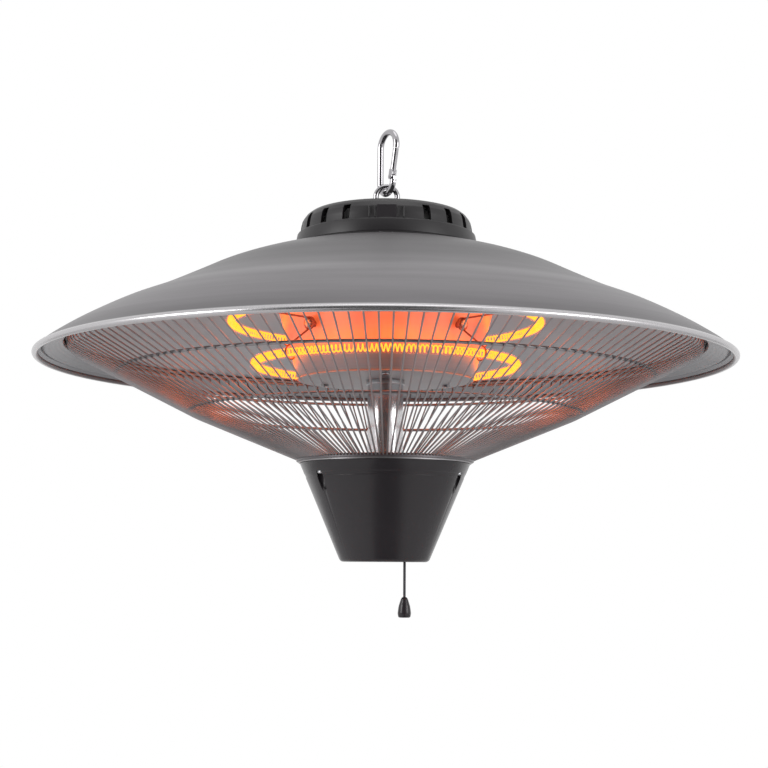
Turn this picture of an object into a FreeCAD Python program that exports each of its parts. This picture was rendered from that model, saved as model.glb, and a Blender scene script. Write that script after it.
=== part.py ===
import FreeCAD, Part
import math
import os

# Ceiling-hung electric ring heater: a spun canopy with a reflector, two glowing quartz rings,
# a wire guard and a switch cup with a pull cord, hung by an eye bolt from a spring snap hook.
# Millimetres. The front is -Y and +Z is up. Heights below are counted from the cup's flat floor,
# and everything is lowered at the end so that the origin is the seat inside the snap hook's top.

os.makedirs("parts", exist_ok=True)

V = FreeCAD.Vector
UP = V(0, 0, 1)
AXIS = V(0, 0, 0)

# Fits and welds
RUN_FIT = 0.05          # radial clearance of a pin or shank in its hole
FREE_GAP = 0.3          # gap between pieces that move past each other
SLIP = 0.2              # easy clearance of a piece through a sheet hole
WELD = 0.2              # how far welded wires sink into each other

# Switch cup
CUP_H = 84.0
CUP_BOTTOM_R = 37.8
CUP_TOP_R = 73.4
CUP_WALL = 2.2
CUP_EDGE_R = 3.0
CUP_SCREW_ANGLES = (-53.0, 67.0, 187.0)
CUP_SCREW_INSET = 7.2
CUP_SCREW_L = 12.0
CUP_WEB = 8.6
CUP_BOSS_R = 7.0
CUP_BOSS_H = 24.0
CUP_GROOVE_R = 4.4

# Hub plate and guard band on top of the cup
HUB_T = 1.2
BAND_H = 3.4
BAND_OVERHANG = 3.0
BAND_WALL = 3.4
BAND_FLANGE_T = 1.2
BAND_FLANGE_W = 15.0

# Column between the hub plate and the drum
COLUMN_L = 70.8
COLUMN_R = 15.5
COLUMN_WALL = 1.6
COLLAR_R = 16.6
COLLAR_H = 4.0

# Tie rod, its nuts, and the sleeve that carries the canopy
ROD_R = 4.0
NUT_FLATS = 13.0
NUT_H = 6.5
ROD_TAIL = 4.0
WASHER_R = 9.0
WASHER_T = 1.6
SLEEVE_R = 6.5
SLEEVE_L = 114.2
CABLE_R = 2.8
CABLE_OFFSET = 10.4

# Drum
DRUM_H = 94.0
DRUM_BOTTOM_R = 76.0
DRUM_TOP_R = 103.0
DRUM_SHEET = 0.8
DRUM_PLATE_T = 1.2
DRUM_LIP_W = 22.0
DRUM_FLANGE_W = 13.0
PLATE_PITCH_R = 62.0
PLATE_SCREW_ANGLES = (0.0, 120.0, 240.0)
DRUM_SCREW_ANGLES = (45.0, 135.0, 225.0, 315.0)
SMALL_SCREW_R = 1.7
SMALL_HEAD_R = 3.4

# Canopy
CANOPY_DROP = 101.3
CROWN_INSET = 10.0
RIM_R = 300.0
BEAD_R = 2.6
CANOPY_SHEET = 0.9
CANOPY_STATIONS = (
    (0.132, 0.068), (0.242, 0.140), (0.352, 0.234), (0.462, 0.358),
    (0.594, 0.503), (0.726, 0.629), (0.858, 0.786), (0.946, 0.911),
)

# Reflector
REFLECTOR_SHEET = 0.8
HEM_INSET = 9.5
HEM_DROP = 2.0
LIP_INSET = 26.0
LIP_RISE = 9.5
GROOVE_DEPTH = 5.5
GROOVE_W = 5.0
DISH_EDGE_GAP = 8.0
DISH_HOLE_INSET = 15.0
DISH_CROWN = 4.5

# Heating rings
UPPER_RING_R = 134.0
UPPER_RING_Z = 206.0
UPPER_END_ANGLE = 160.0
LOWER_RING_R = 113.5
LOWER_RING_Z = 169.5
LOWER_END_ANGLE = 166.0
QUARTZ_R = 4.6
QUARTZ_WALL = 1.2
QUARTZ_BEND_R = 12.0
HOLDER_R = 9.0
HOLDER_NECK_R = 6.8
HOLDER_FLANGE_L = 9.0
HOLDER_NECK_L = 16.0
HOLDER_SEAT = 8.0
HOLDER_GAP = 3.0
CURL_COUNT = 48
FILAMENT_COIL_R = 2.1
FILAMENT_R = 0.45

# Wire brackets under the rings
BRACKET_ANGLES = (-43.0, 43.0, -137.0, 137.0)
BRACKET_WIRE_R = 0.8
BRACKET_STANDOFF = 4.0
PAD_R = 5.6
PAD_T = 1.6
SPACER_R = 3.0

# Wire guard
GUARD_WIRES = 156
GUARD_WIRE_R = 0.75
GUARD_KNEE_RUN = 88.6
GUARD_KNEE_RISE = 38.2
GUARD_SHOULDER_INSET = 1.0
GUARD_SHOULDER_DROP = 7.8
GUARD_KNEE_BEND = 60.0
GUARD_SHOULDER_BEND = 6.0
GUARD_RING_R = 1.3
GUARD_UPPER_RING_INSET = 40.5
GUARD_LOWER_RING_GAP = 1.95

# Cap
CAP_H = 30.7
CAP_BASE_R = 80.0
CAP_FLARE = 2.2
CAP_LEDGE_H = 10.7
CAP_LEDGE_W = 2.2
CAP_SHOULDER_H = 13.0
CAP_TOP_INSET = 13.6
CAP_WALL = 2.5
CAP_TOP_DRAFT = 1.0
CAP_BULGE = 2.2
SLOT_PITCH = 18.0
SLOT_COUNT = 20
SLOT_W = 6.8
SLOT_H = 13.0
RIB_R = 0.9
RIB_ANGLES = (7.4, 11.0)
GASKET_T = 1.2
GASKET_W = 5.0
BOSS_R = 5.0
BOSS_INSET = 19.6
BOSS_ANGLES = (0.0, 120.0, 240.0)

# Supply inlet and terminals
GLAND_INSET = 17.0
GLAND_BORE_R = 3.6
GLAND_THREAD_R = 7.8
GLAND_FLATS = 19.0
GLAND_HEX_H = 6.0
GLAND_DOME_H = 13.0
GLAND_TAIL = 13.0
GLAND_NUT_FLATS = 22.0
GLAND_NUT_H = 5.0
TERMINAL_INSET = 39.6
TERMINAL_SIZE = (18.0, 44.0, 22.0)
TERMINAL_SCREWS = 4
TERMINAL_PITCH = 10.0
GROMMET_Y = 28.0
GROMMET_R = 9.0
GROMMET_WALL = 1.5
LEAD_R = 1.1
CABLE_RISE = 4.6
LEAD_RISE = 9.0
LEAD_STEP = 2.4

# Eye bolt
EYE_R = 9.4
EYE_WIRE_R = 2.4
EYE_COLLAR_R = 6.0
EYE_COLLAR_H = 4.2
EYE_SINK = 0.5          # how far the ring runs into its collar

# Snap hook
HOOK_L = 60.0
HOOK_WIRE_R = 2.8
HOOK_BOTTOM_R = 10.5
HOOK_TOP_R = 13.0
HOOK_TURN = 32.0        # turn of the hook's plane from the front-to-back plane
HOOK_SLACK = 0.9        # space under the eye, so that the ring clears the bent wire as it swings
GATE_SLANT = 14.0
GATE_L = 25.7
GATE_R = 2.5
TONGUE_T = 2.4
EAR_T = 1.2
GATE_PIN_R = 1.1

# Pull switch and cord
CORD_X = 16.9
CORD_Y = -22.0
CORD_R = 1.1
CORD_BELOW = 29.2
SWITCH_L = 30.0
SWITCH_W = 22.0
SWITCH_H = 30.0
SWITCH_SLOT_H = 12.0
SWITCH_NOSE = 8.4       # from the lever's pin to the end of the switch
SWITCH_SCREW_IN = 7.0
LEVER_ARM = 24.0
LEVER_W = 7.2
LEVER_T = 3.0
LEVER_PIN_R = 2.0
LEVER_FORK_GAP = 3.2
LEVER_FORK_L = 9.0
LEVER_TAIL = 3.0
LEVER_TIP = 4.0
LEVER_PIVOT_RISE = 4.0
FERRULE_R = 2.6
GROMMET_CORD_R = 1.6
GROMMET_CORD_WALL = 2.4
GROMMET_CORD_LIP = 1.4
KNOB_H = 17.0
KNOB_R = 5.7
KNOB_NECK_R = 2.9
KNOB_SEAT = 9.0

# Radii and places that follow
CROWN_R = CAP_BASE_R - CROWN_INSET
CAP_LEDGE_R = CAP_BASE_R - CAP_FLARE
CAP_BODY_R = CAP_LEDGE_R - CAP_LEDGE_W
CAP_TOP_R = CAP_BODY_R - CAP_TOP_INSET
BOSS_PITCH_R = CAP_BODY_R - BOSS_INSET
GLAND_Y = CAP_TOP_R - GLAND_INSET
TERMINAL_X = CAP_BODY_R - TERMINAL_INSET

# Heights that follow
HUB_TOP = CUP_H + HUB_T
DRUM_Z = HUB_TOP + COLUMN_L
DRUM_FLOOR = DRUM_Z + DRUM_PLATE_T
DRUM_TOP = DRUM_Z + DRUM_H
CROWN_Z = DRUM_FLOOR + SLEEVE_L + CANOPY_SHEET
RIM_Z = CROWN_Z - CANOPY_DROP
CAP_TOP = CROWN_Z + CAP_H
EYE_Z = CAP_TOP + EYE_COLLAR_H + EYE_R + EYE_WIRE_R - EYE_SINK
EYE_TOP_Z = EYE_Z + EYE_R
HOOK_LOW_Z = EYE_TOP_Z - EYE_WIRE_R - HOOK_SLACK - HOOK_WIRE_R
HOOK_BOTTOM_Z = HOOK_LOW_Z + HOOK_BOTTOM_R
HOOK_TOP_Z = HOOK_LOW_Z - 2 * HOOK_WIRE_R + HOOK_L - HOOK_TOP_R
HOOK_TOP_U = HOOK_TOP_R - HOOK_BOTTOM_R
HANG_Z = HOOK_TOP_Z + math.sqrt((HOOK_TOP_R - HOOK_WIRE_R) ** 2 - HOOK_TOP_U ** 2)


def polar(radius, angle, height):
    """Point at an angle counted from the front towards the right."""
    turn = math.radians(angle)
    return V(radius * math.sin(turn), -radius * math.cos(turn), height)


def cylinder(radius, low, high, x=0.0, y=0.0):
    return Part.makeCylinder(radius, high - low, V(x, y, low), UP)


def pipe(outer, inner, low, high, x=0.0, y=0.0):
    return cylinder(outer, low, high, x, y).cut(cylinder(inner, low, high, x, y))


def rod_between(start, end, radius):
    return Part.makeCylinder(radius, (end - start).Length, start, end - start)


def hexagon(flats, low, high, x=0.0, y=0.0):
    corner = flats / math.sqrt(3)
    points = [V(x, y, low) + polar(corner, 60 * step, 0) for step in range(7)]
    return Part.Face(Part.makePolygon(points)).extrude(V(0, 0, high - low))


def turned(outline):
    """Solid of revolution about Z of a closed outline of (radius, height) points."""
    points = [V(radius, 0, height) for radius, height in outline]
    face = Part.Face(Part.makePolygon(points + points[:1]))
    return face.revolve(AXIS, UP, 360)


def turned_edges(edges):
    return Part.Face(Part.Wire(edges)).revolve(AXIS, UP, 360)


def line(start, end):
    return Part.LineSegment(start, end).toShape()


def arc(start, middle, end):
    return Part.Arc(start, middle, end).toShape()


def rounded_path(points, bend):
    """Straight runs joined by tangent arcs of one bend radius."""
    edges = []
    start = points[0]
    for corner, following in zip(points[1:-1], points[2:]):
        back = (start - corner).normalize()
        ahead = (following - corner).normalize()
        half = back.getAngle(ahead) / 2
        reach = bend / math.tan(half)
        first = corner + back * reach
        last = corner + ahead * reach
        inward = (back + ahead).normalize()
        middle = corner + inward * (bend / math.sin(half) - bend)
        edges += [line(start, first), arc(first, middle, last)]
        start = last
    return Part.Wire(edges + [line(start, points[-1])])


def swept(path, radius):
    """Round wire or tube core along a path."""
    first = path.OrderedEdges[0]
    start = first.valueAt(first.FirstParameter)
    heading = first.tangentAt(first.FirstParameter)
    ring = Part.Wire(Part.Circle(start, heading, radius).toShape())
    return path.makePipeShell([ring], True, False)


def spun(shape, angles):
    """Copies of a piece that stands at the front, turned to each angle about the axis."""
    copies = []
    for angle in angles:
        copy = shape.copy()
        copy.rotate(AXIS, UP, angle)
        copies.append(copy)
    return copies


def pan_screw(seat, heading, length, radius=SMALL_SCREW_R):
    """Pan-head screw whose head sits on the seat and whose shank runs along the heading."""
    shank = Part.makeCylinder(radius, length, seat, heading)
    head = Part.makeCylinder(2 * radius, 1.3 * radius, seat, heading * -1)
    top_edges = [edge for edge in head.Edges if edge.Closed and
                 (edge.CenterOfMass - seat).dot(heading) < -radius]
    head = head.makeFillet(0.6 * radius, top_edges)
    crown = seat - heading * (1.3 * radius)
    slot = Part.makeBox(4 * radius, 0.5 * radius, 1.2 * radius, V(-2 * radius, -0.25 * radius, -0.6 * radius))
    slot.Placement = FreeCAD.Placement(crown, FreeCAD.Rotation(UP, heading))
    return shank.fuse(head.cut(slot)).removeSplitter()


def save(name, shapes):
    solids = shapes if isinstance(shapes, list) else [shapes]
    moved = []
    for solid in solids:
        copy = solid.copy()
        copy.translate(V(0, 0, -HANG_Z))
        moved.append(copy)
    whole = moved[0] if len(moved) == 1 else Part.makeCompound(moved)
    whole.exportStep("parts/" + name + ".step")


def drum_radius(height):
    """Outer radius of the drum's cone at a height."""
    return DRUM_BOTTOM_R + (DRUM_TOP_R - DRUM_BOTTOM_R) * (height - DRUM_Z) / DRUM_H


def cup_radius(height):
    return CUP_BOTTOM_R + (CUP_TOP_R - CUP_BOTTOM_R) * height / CUP_H


# Canopy outline: crown edge to the top of the rolled rim
SHEET_END_R = RIM_R - BEAD_R
SHEET_END_Z = RIM_Z + BEAD_R
canopy_points = [V(CROWN_R, 0, CROWN_Z)]
for run, drop in CANOPY_STATIONS:
    station_r = CROWN_R + run * (SHEET_END_R - CROWN_R)
    canopy_points.append(V(station_r, 0, CROWN_Z - drop * (CROWN_Z - SHEET_END_Z)))
canopy_points.append(V(SHEET_END_R, 0, SHEET_END_Z))
canopy_curve = Part.BSplineCurve()
canopy_curve.interpolate(canopy_points)


def canopy_height(radius):
    """Height of the canopy's outer face at a radius."""
    upright = Part.LineSegment(V(radius, 0, RIM_Z - 50), V(radius, 0, CROWN_Z + 50))
    return canopy_curve.intersect(upright)[0].Z


def make_canopy():
    drop = V(0, 0, -CANOPY_SHEET)
    inner_curve = canopy_curve.copy()
    inner_curve.translate(drop)
    hub = V(ROD_R + SLIP, 0, CROWN_Z)
    crown = V(CROWN_R, 0, CROWN_Z)
    end = V(SHEET_END_R, 0, SHEET_END_Z)
    edges = [
        line(hub, crown), canopy_curve.toShape(), line(end, end + drop),
        inner_curve.toShape(), line(crown + drop, hub + drop), line(hub + drop, hub),
    ]
    sheet = Part.Face(Part.Wire(Part.__sortEdges__(edges))).revolve(AXIS, UP, 360)
    bead = Part.makeTorus(SHEET_END_R, BEAD_R, V(0, 0, RIM_Z))
    canopy = sheet.fuse(bead)
    canopy = canopy.cut(cylinder(GROMMET_R, CROWN_Z - 5, CROWN_Z + 5, 0, GROMMET_Y))
    for angle in BOSS_ANGLES:
        spot = polar(BOSS_PITCH_R, angle, 0)
        canopy = canopy.cut(cylinder(SMALL_SCREW_R + SLIP, CROWN_Z - 5, CROWN_Z + 5, spot.x, spot.y))
    return canopy


# Reflector: hem at the rim, light band, groove for the guard, dish and flat crown
HEM_R = RIM_R - HEM_INSET
HEM_Z = RIM_Z + HEM_DROP
LIP_R = RIM_R - LIP_INSET
LIP_Z = RIM_Z + LIP_RISE
GROOVE_TOP = LIP_Z + GROOVE_DEPTH
DISH_R = LIP_R - GROOVE_W
DISH_EDGE_R = DRUM_TOP_R + DISH_EDGE_GAP
DISH_HOLE_R = DRUM_TOP_R - DISH_HOLE_INSET


def make_reflector():
    hem_top = canopy_height(HEM_R) - CANOPY_SHEET - FREE_GAP
    dish_mid = V((DISH_R + DISH_EDGE_R) / 2, 0, (GROOVE_TOP + DRUM_TOP) / 2 + DISH_CROWN)
    sheet = V(0, 0, REFLECTOR_SHEET)
    side = V(REFLECTOR_SHEET, 0, 0)
    hem_low = V(HEM_R, 0, HEM_Z)
    hem_high = V(HEM_R, 0, hem_top)
    lip = V(LIP_R, 0, LIP_Z)
    groove = V(LIP_R, 0, GROOVE_TOP)
    dish_out = V(DISH_R, 0, GROOVE_TOP)
    dish_in = V(DISH_EDGE_R, 0, DRUM_TOP)
    hole = V(DISH_HOLE_R, 0, DRUM_TOP)
    edges = [
        line(hem_high, hem_low), line(hem_low, lip), line(lip, groove), line(groove, dish_out),
        arc(dish_out, dish_mid, dish_in), line(dish_in, hole), line(hole, hole + sheet),
        line(hole + sheet, dish_in + sheet), arc(dish_in + sheet, dish_mid + sheet, dish_out + sheet),
        line(dish_out + sheet, groove + sheet + side), line(groove + sheet + side, lip + sheet + side),
        line(lip + sheet + side, hem_low + sheet - side), line(hem_low + sheet - side, hem_high - side),
        line(hem_high - side, hem_high),
    ]
    reflector = turned_edges(edges)
    for angle in DRUM_SCREW_ANGLES:
        spot = polar(DRUM_TOP_R - DRUM_FLANGE_W / 2, angle, 0)
        hole = cylinder(SMALL_SCREW_R + RUN_FIT, DRUM_TOP - 2, DRUM_TOP + 4, spot.x, spot.y)
        reflector = reflector.cut(hole)
    return reflector


def ring_path(radius, height, end_angle, bore_radius):
    """Ring open at the back, whose ends bend in to run straight to the drum."""
    bend = QUARTZ_BEND_R
    turn = math.degrees(math.asin(bend / (radius - bend)))
    straight = math.sqrt((radius - bend) ** 2 - bend ** 2)
    edges = []
    for side in (1, -1):
        inner = polar(bore_radius, side * end_angle, height)
        outer = polar(straight, side * end_angle, height)
        centre = polar(radius - bend, side * (end_angle - turn), height)
        tangent = polar(radius, side * (end_angle - turn), height)
        bulge = (outer - centre).normalize() + (tangent - centre).normalize()
        middle = centre + bulge.normalize() * bend
        edges += [line(inner, outer), arc(outer, middle, tangent)]
    first = polar(radius, end_angle - turn, height)
    last = polar(radius, turn - end_angle, height)
    edges.append(arc(first, polar(radius, 0, height), last))
    return Part.Wire(Part.__sortEdges__(edges))


def holder_seat(height):
    """Radius at which a quartz tube ends inside its ceramic holder."""
    return drum_radius(height) + HOLDER_GAP + HOLDER_FLANGE_L - HOLDER_SEAT


def make_quartz(radius, height, end_angle):
    path = ring_path(radius, height, end_angle, holder_seat(height))
    return swept(path, QUARTZ_R).cut(swept(path, QUARTZ_R - QUARTZ_WALL))


def make_holder(height, end_angle):
    face = drum_radius(height) + HOLDER_GAP
    heading = polar(1, end_angle, 0)
    root = polar(face, end_angle, height)
    flange = Part.makeCylinder(HOLDER_R, HOLDER_FLANGE_L, root, heading)
    neck = Part.makeCylinder(HOLDER_NECK_R, HOLDER_NECK_L, root, heading * -1)
    seat = polar(holder_seat(height), end_angle, height)
    counterbore = Part.makeCylinder(QUARTZ_R + RUN_FIT, HOLDER_SEAT + 1, seat, heading)
    lead_bore = Part.makeCylinder(LEAD_R + RUN_FIT, HOLDER_NECK_L + 20, seat, heading * -1)
    return flange.fuse(neck).cut(counterbore).cut(lead_bore)


def biarc(start, start_heading, end, end_heading):
    """Two arcs that leave the start and reach the end along the given headings."""
    chord = end - start
    both = start_heading + end_heading
    square = 2 * (1 - start_heading.dot(end_heading))
    lean = chord.dot(both)
    reach = (-lean + math.sqrt(lean ** 2 + square * chord.dot(chord))) / square
    joint = (start + end + (start_heading - end_heading) * reach) * 0.5
    arcs = []
    for near, heading, far in ((start, start_heading, joint), (end, end_heading * -1, joint)):
        span = far - near
        across = span - heading * span.dot(heading)
        radius = span.dot(span) / (2 * across.Length)
        centre = near + across.normalize() * radius
        halfway = ((near - centre).normalize() + (far - centre).normalize()).normalize()
        arcs.append((near, centre + halfway * radius, far))
    first, second = arcs
    return [arc(*first), arc(second[2], second[1], second[0])]


def coil_point(radius, height, ring_angle, curl_angle):
    """Point on a coil that winds round a ring."""
    turn = math.radians(curl_angle)
    out = FILAMENT_COIL_R * math.cos(turn)
    rise = FILAMENT_COIL_R * math.sin(turn)
    return polar(radius + out, ring_angle, height + rise)


def make_filament(name, radius, height, end_angle):
    bend_turn = math.degrees(math.asin(QUARTZ_BEND_R / (radius - QUARTZ_BEND_R)))
    span = end_angle - bend_turn - 1
    quarters = CURL_COUNT * 4
    step = 0.001

    def at(quarter):
        return coil_point(radius, height, span - 2 * span * quarter / quarters, 90 * quarter)

    spots = [at(quarter) for quarter in range(quarters + 1)]
    headings = [(at(quarter + step) - at(quarter - step)).normalize() for quarter in range(quarters + 1)]
    edges = [line(spots[0] - headings[0] * (2 * FILAMENT_R), spots[0])]
    for index in range(quarters):
        edges += biarc(spots[index], headings[index], spots[index + 1], headings[index + 1])
    edges.append(line(spots[-1], spots[-1] + headings[-1] * (2 * FILAMENT_R)))
    dense = [at(quarter / 6) for quarter in range(6 * quarters + 1)]
    apart = [(dense[index] - other).Length for index in range(0, 200)
             for other in dense[index + 13:index + 60]]
    print(name, "least gap to itself", round(min(apart) - 2 * FILAMENT_R, 2))
    return swept(Part.Wire(edges), FILAMENT_R)


# Wire brackets, drawn at the front: a pad on the drum's wall with an arm to each ring
WRAP_R = QUARTZ_R + FREE_GAP + BRACKET_WIRE_R
ARM_Z = UPPER_RING_Z - WRAP_R
ARM_OFFSET = SMALL_HEAD_R + BRACKET_WIRE_R + SLIP
PAD = V(0, -(drum_radius(ARM_Z) + BRACKET_STANDOFF), ARM_Z - ARM_OFFSET)


def around_ring(ring_r, ring_z, angle):
    """Point on the arc that a bracket's hook takes round a ring."""
    turn = math.radians(angle)
    return V(0, -(ring_r + WRAP_R * math.cos(turn)), ring_z + WRAP_R * math.sin(turn))


def make_bracket():
    foot = PAD - V(0, 0, ARM_OFFSET)
    reach = foot - V(0, -LOWER_RING_R, LOWER_RING_Z)
    tilt = math.degrees(math.atan2(reach.z, -reach.y))
    leave = tilt - math.degrees(math.acos(WRAP_R / reach.Length))
    low_points = [around_ring(LOWER_RING_R, LOWER_RING_Z, leave - turn) for turn in (190, 95, 0)]
    high_points = [around_ring(UPPER_RING_R, UPPER_RING_Z, angle) for angle in (-90, -30, 30)]
    low_arm = Part.Wire([arc(*low_points), line(low_points[-1], foot)])
    high_arm = Part.Wire([line(PAD + V(0, 0, ARM_OFFSET), high_points[0]), arc(*high_points)])
    pad = Part.makeCylinder(PAD_R, PAD_T, PAD - V(0, PAD_T / 2, 0), V(0, 1, 0))
    spacer = Part.makeCylinder(SPACER_R, 2 * BRACKET_STANDOFF, PAD, V(0, 1, 0))
    wall = Part.makeCone(DRUM_BOTTOM_R + RUN_FIT, DRUM_TOP_R + RUN_FIT, DRUM_H, V(0, 0, DRUM_Z), UP)
    bracket = pad.fuse(spacer.cut(wall))
    bracket = bracket.fuse(swept(low_arm, BRACKET_WIRE_R)).fuse(swept(high_arm, BRACKET_WIRE_R))
    screw_hole = Part.makeCylinder(SMALL_SCREW_R + RUN_FIT, 4 * PAD_R, PAD - V(0, 2 * PAD_R, 0), V(0, 1, 0))
    return bracket.cut(screw_hole)


def bracket_screw_seat():
    return PAD - V(0, PAD_T / 2, 0)


def make_drum():
    inset = DRUM_SHEET
    lip = DRUM_BOTTOM_R - DRUM_LIP_W
    flange = DRUM_TOP_R - DRUM_FLANGE_W
    drum = turned((
        (lip, DRUM_FLOOR), (drum_radius(DRUM_FLOOR), DRUM_FLOOR), (DRUM_TOP_R, DRUM_TOP),
        (flange, DRUM_TOP), (flange, DRUM_TOP - inset), (DRUM_TOP_R - 1.4 * inset, DRUM_TOP - inset),
        (drum_radius(DRUM_FLOOR + inset) - inset, DRUM_FLOOR + inset), (lip, DRUM_FLOOR + inset),
    ))
    for angle in PLATE_SCREW_ANGLES:
        spot = polar(PLATE_PITCH_R, angle, 0)
        drum = drum.cut(cylinder(SMALL_SCREW_R + RUN_FIT, DRUM_Z, DRUM_FLOOR + 4, spot.x, spot.y))
    for angle in DRUM_SCREW_ANGLES:
        spot = polar(DRUM_TOP_R - DRUM_FLANGE_W / 2, angle, 0)
        drum = drum.cut(cylinder(SMALL_SCREW_R + RUN_FIT, DRUM_TOP - 4, DRUM_TOP + 1, spot.x, spot.y))
    seat = bracket_screw_seat()
    for angle in BRACKET_ANGLES:
        head = polar(-seat.y, angle, seat.z)
        drum = drum.cut(Part.makeCylinder(SMALL_SCREW_R + RUN_FIT, 30, head, polar(-1, angle, 0)))
    for height, end_angle in ((UPPER_RING_Z, UPPER_END_ANGLE), (LOWER_RING_Z, LOWER_END_ANGLE)):
        for side in (1, -1):
            start = polar(drum_radius(height) + 8, side * end_angle, height)
            heading = polar(-1, side * end_angle, 0)
            drum = drum.cut(Part.makeCylinder(HOLDER_NECK_R + SLIP, HOLDER_NECK_L, start, heading))
    return drum


def make_drum_plate():
    plate = pipe(DRUM_BOTTOM_R, ROD_R + SLIP, DRUM_Z, DRUM_FLOOR)
    plate = plate.cut(cylinder(CABLE_R + SLIP, DRUM_Z - 1, DRUM_FLOOR + 1, 0, CABLE_OFFSET))
    for angle in PLATE_SCREW_ANGLES:
        spot = polar(PLATE_PITCH_R, angle, 0)
        plate = plate.cut(cylinder(SMALL_SCREW_R + RUN_FIT, DRUM_Z - 1, DRUM_FLOOR + 1, spot.x, spot.y))
    return plate


# Guard: radial wires from the band up to the groove, with rings welded on their inside
BAND_R = CUP_TOP_R + BAND_OVERHANG
GUARD_FOOT = V(0, -(BAND_R - BAND_WALL / 3), HUB_TOP + BAND_H / 2)
GUARD_KNEE_R = BAND_R + GUARD_KNEE_RUN
GUARD_KNEE = V(0, -GUARD_KNEE_R, HUB_TOP + GUARD_KNEE_RISE)
TOP_RING_R = DISH_R + GROOVE_W / 2
TOP_RING_Z = GROOVE_TOP - GUARD_RING_R - FREE_GAP
GUARD_SHOULDER_R = TOP_RING_R - GUARD_SHOULDER_INSET
GUARD_SHOULDER = V(0, -GUARD_SHOULDER_R, TOP_RING_Z - GUARD_SHOULDER_DROP)
GUARD_HEAD = V(0, -TOP_RING_R, TOP_RING_Z - GUARD_RING_R + WELD)
GUARD_UPPER_RING_R = GUARD_SHOULDER_R - GUARD_UPPER_RING_INSET
GUARD_KNEE_TURN = (GUARD_SHOULDER - GUARD_KNEE).getAngle(GUARD_KNEE - GUARD_FOOT)
GUARD_KNEE_REACH = GUARD_KNEE_BEND * math.tan(GUARD_KNEE_TURN / 2)
GUARD_KNEE_END = GUARD_KNEE + (GUARD_SHOULDER - GUARD_KNEE).normalize() * GUARD_KNEE_REACH
GUARD_LOWER_RING_R = GUARD_LOWER_RING_GAP - GUARD_KNEE_END.y


def make_guard_wire():
    """One radial wire: slight bend at the knee, tight bend at the shoulder."""
    lower = rounded_path([GUARD_FOOT, GUARD_KNEE, GUARD_SHOULDER], GUARD_KNEE_BEND).OrderedEdges
    bend_end = lower[2].Vertexes[0].Point
    upper = rounded_path([bend_end, GUARD_SHOULDER, GUARD_HEAD], GUARD_SHOULDER_BEND).OrderedEdges
    return swept(Part.Wire(lower[:2] + upper), GUARD_WIRE_R)


def guard_ring(radius, low, high):
    """Ring wire welded on the inside of the radial wires on the run from low to high."""
    run = high - low
    share = (radius + low.y) / (low.y - high.y)
    slope = math.atan2(run.z, -run.y)
    lift = (GUARD_WIRE_R + GUARD_RING_R - WELD) / math.cos(slope)
    return Part.makeTorus(radius, GUARD_RING_R, V(0, 0, low.z + run.z * share + lift))


def make_guard_band():
    inner = BAND_R - BAND_FLANGE_W
    band = turned((
        (inner, HUB_TOP), (BAND_R, HUB_TOP), (BAND_R, HUB_TOP + BAND_H),
        (BAND_R - BAND_WALL, HUB_TOP + BAND_H), (BAND_R - BAND_WALL, HUB_TOP + BAND_FLANGE_T),
        (inner, HUB_TOP + BAND_FLANGE_T),
    ))
    return cut_cup_screws(band)


CUP_SCREW_PITCH_R = CUP_TOP_R - CUP_SCREW_INSET


def cut_cup_screws(shape):
    for angle in CUP_SCREW_ANGLES:
        spot = polar(CUP_SCREW_PITCH_R, angle, 0)
        shape = shape.cut(cylinder(SMALL_SCREW_R + RUN_FIT, CUP_H - 10, CUP_H + 10, spot.x, spot.y))
    return shape


def make_cup():
    outside = turned(((0, 0), (CUP_BOTTOM_R, 0), (CUP_TOP_R, CUP_H), (0, CUP_H)))
    floor_edge = [edge for edge in outside.Edges if edge.Closed and edge.CenterOfMass.z < 0.01]
    outside = outside.makeFillet(CUP_EDGE_R, floor_edge)
    slant = CUP_WALL * math.hypot(CUP_H, CUP_TOP_R - CUP_BOTTOM_R) / CUP_H
    inside = turned(((0, CUP_WALL), (cup_radius(CUP_WALL) - slant, CUP_WALL),
                     (cup_radius(CUP_H + 1) - slant, CUP_H + 1), (0, CUP_H + 1)))
    cup = outside.cut(inside)
    for angle in CUP_SCREW_ANGLES:
        spot = polar(CUP_SCREW_PITCH_R, angle, 0)
        boss = cylinder(CUP_BOSS_R, CUP_H - CUP_BOSS_H, CUP_H, spot.x, spot.y).common(outside)
        cup = cup.fuse(boss)
    for angle in CUP_SCREW_ANGLES:
        spot = polar(CUP_SCREW_PITCH_R, angle, 0)
        cup = cup.cut(cylinder(CUP_GROOVE_R, 0, CUP_H - CUP_WEB, spot.x, spot.y))
    cup = cut_cup_screws(cup)
    return cup.cut(cylinder(GROMMET_CORD_R + GROMMET_CORD_WALL, -1, CUP_WALL + 1, CORD_X, CORD_Y))


def make_hub_plate():
    plate = pipe(CUP_TOP_R + 1, ROD_R + SLIP, CUP_H, HUB_TOP)
    plate = plate.cut(cylinder(CABLE_R + SLIP, CUP_H - 1, HUB_TOP + 1, 0, CABLE_OFFSET))
    for x in SWITCH_SCREW_X:
        plate = plate.cut(cylinder(SMALL_SCREW_R + RUN_FIT, CUP_H - 1, HUB_TOP + 1, x, CORD_Y))
    return cut_cup_screws(plate)


# Cap over the terminals
CAP_LEDGE_Z = CROWN_Z + CAP_LEDGE_H
CAP_SHOULDER_Z = CAP_TOP - CAP_SHOULDER_H
GASKET_IN_R = CAP_BASE_R - GASKET_W
GASKET_OUT_Z = canopy_height(CAP_BASE_R) + RUN_FIT
GASKET_IN_Z = canopy_height(GASKET_IN_R) + RUN_FIT


def make_gasket():
    return turned((
        (GASKET_IN_R, GASKET_IN_Z), (CAP_BASE_R, GASKET_OUT_Z),
        (CAP_BASE_R, GASKET_OUT_Z + GASKET_T), (GASKET_IN_R, GASKET_IN_Z + GASKET_T),
    ))


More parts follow.
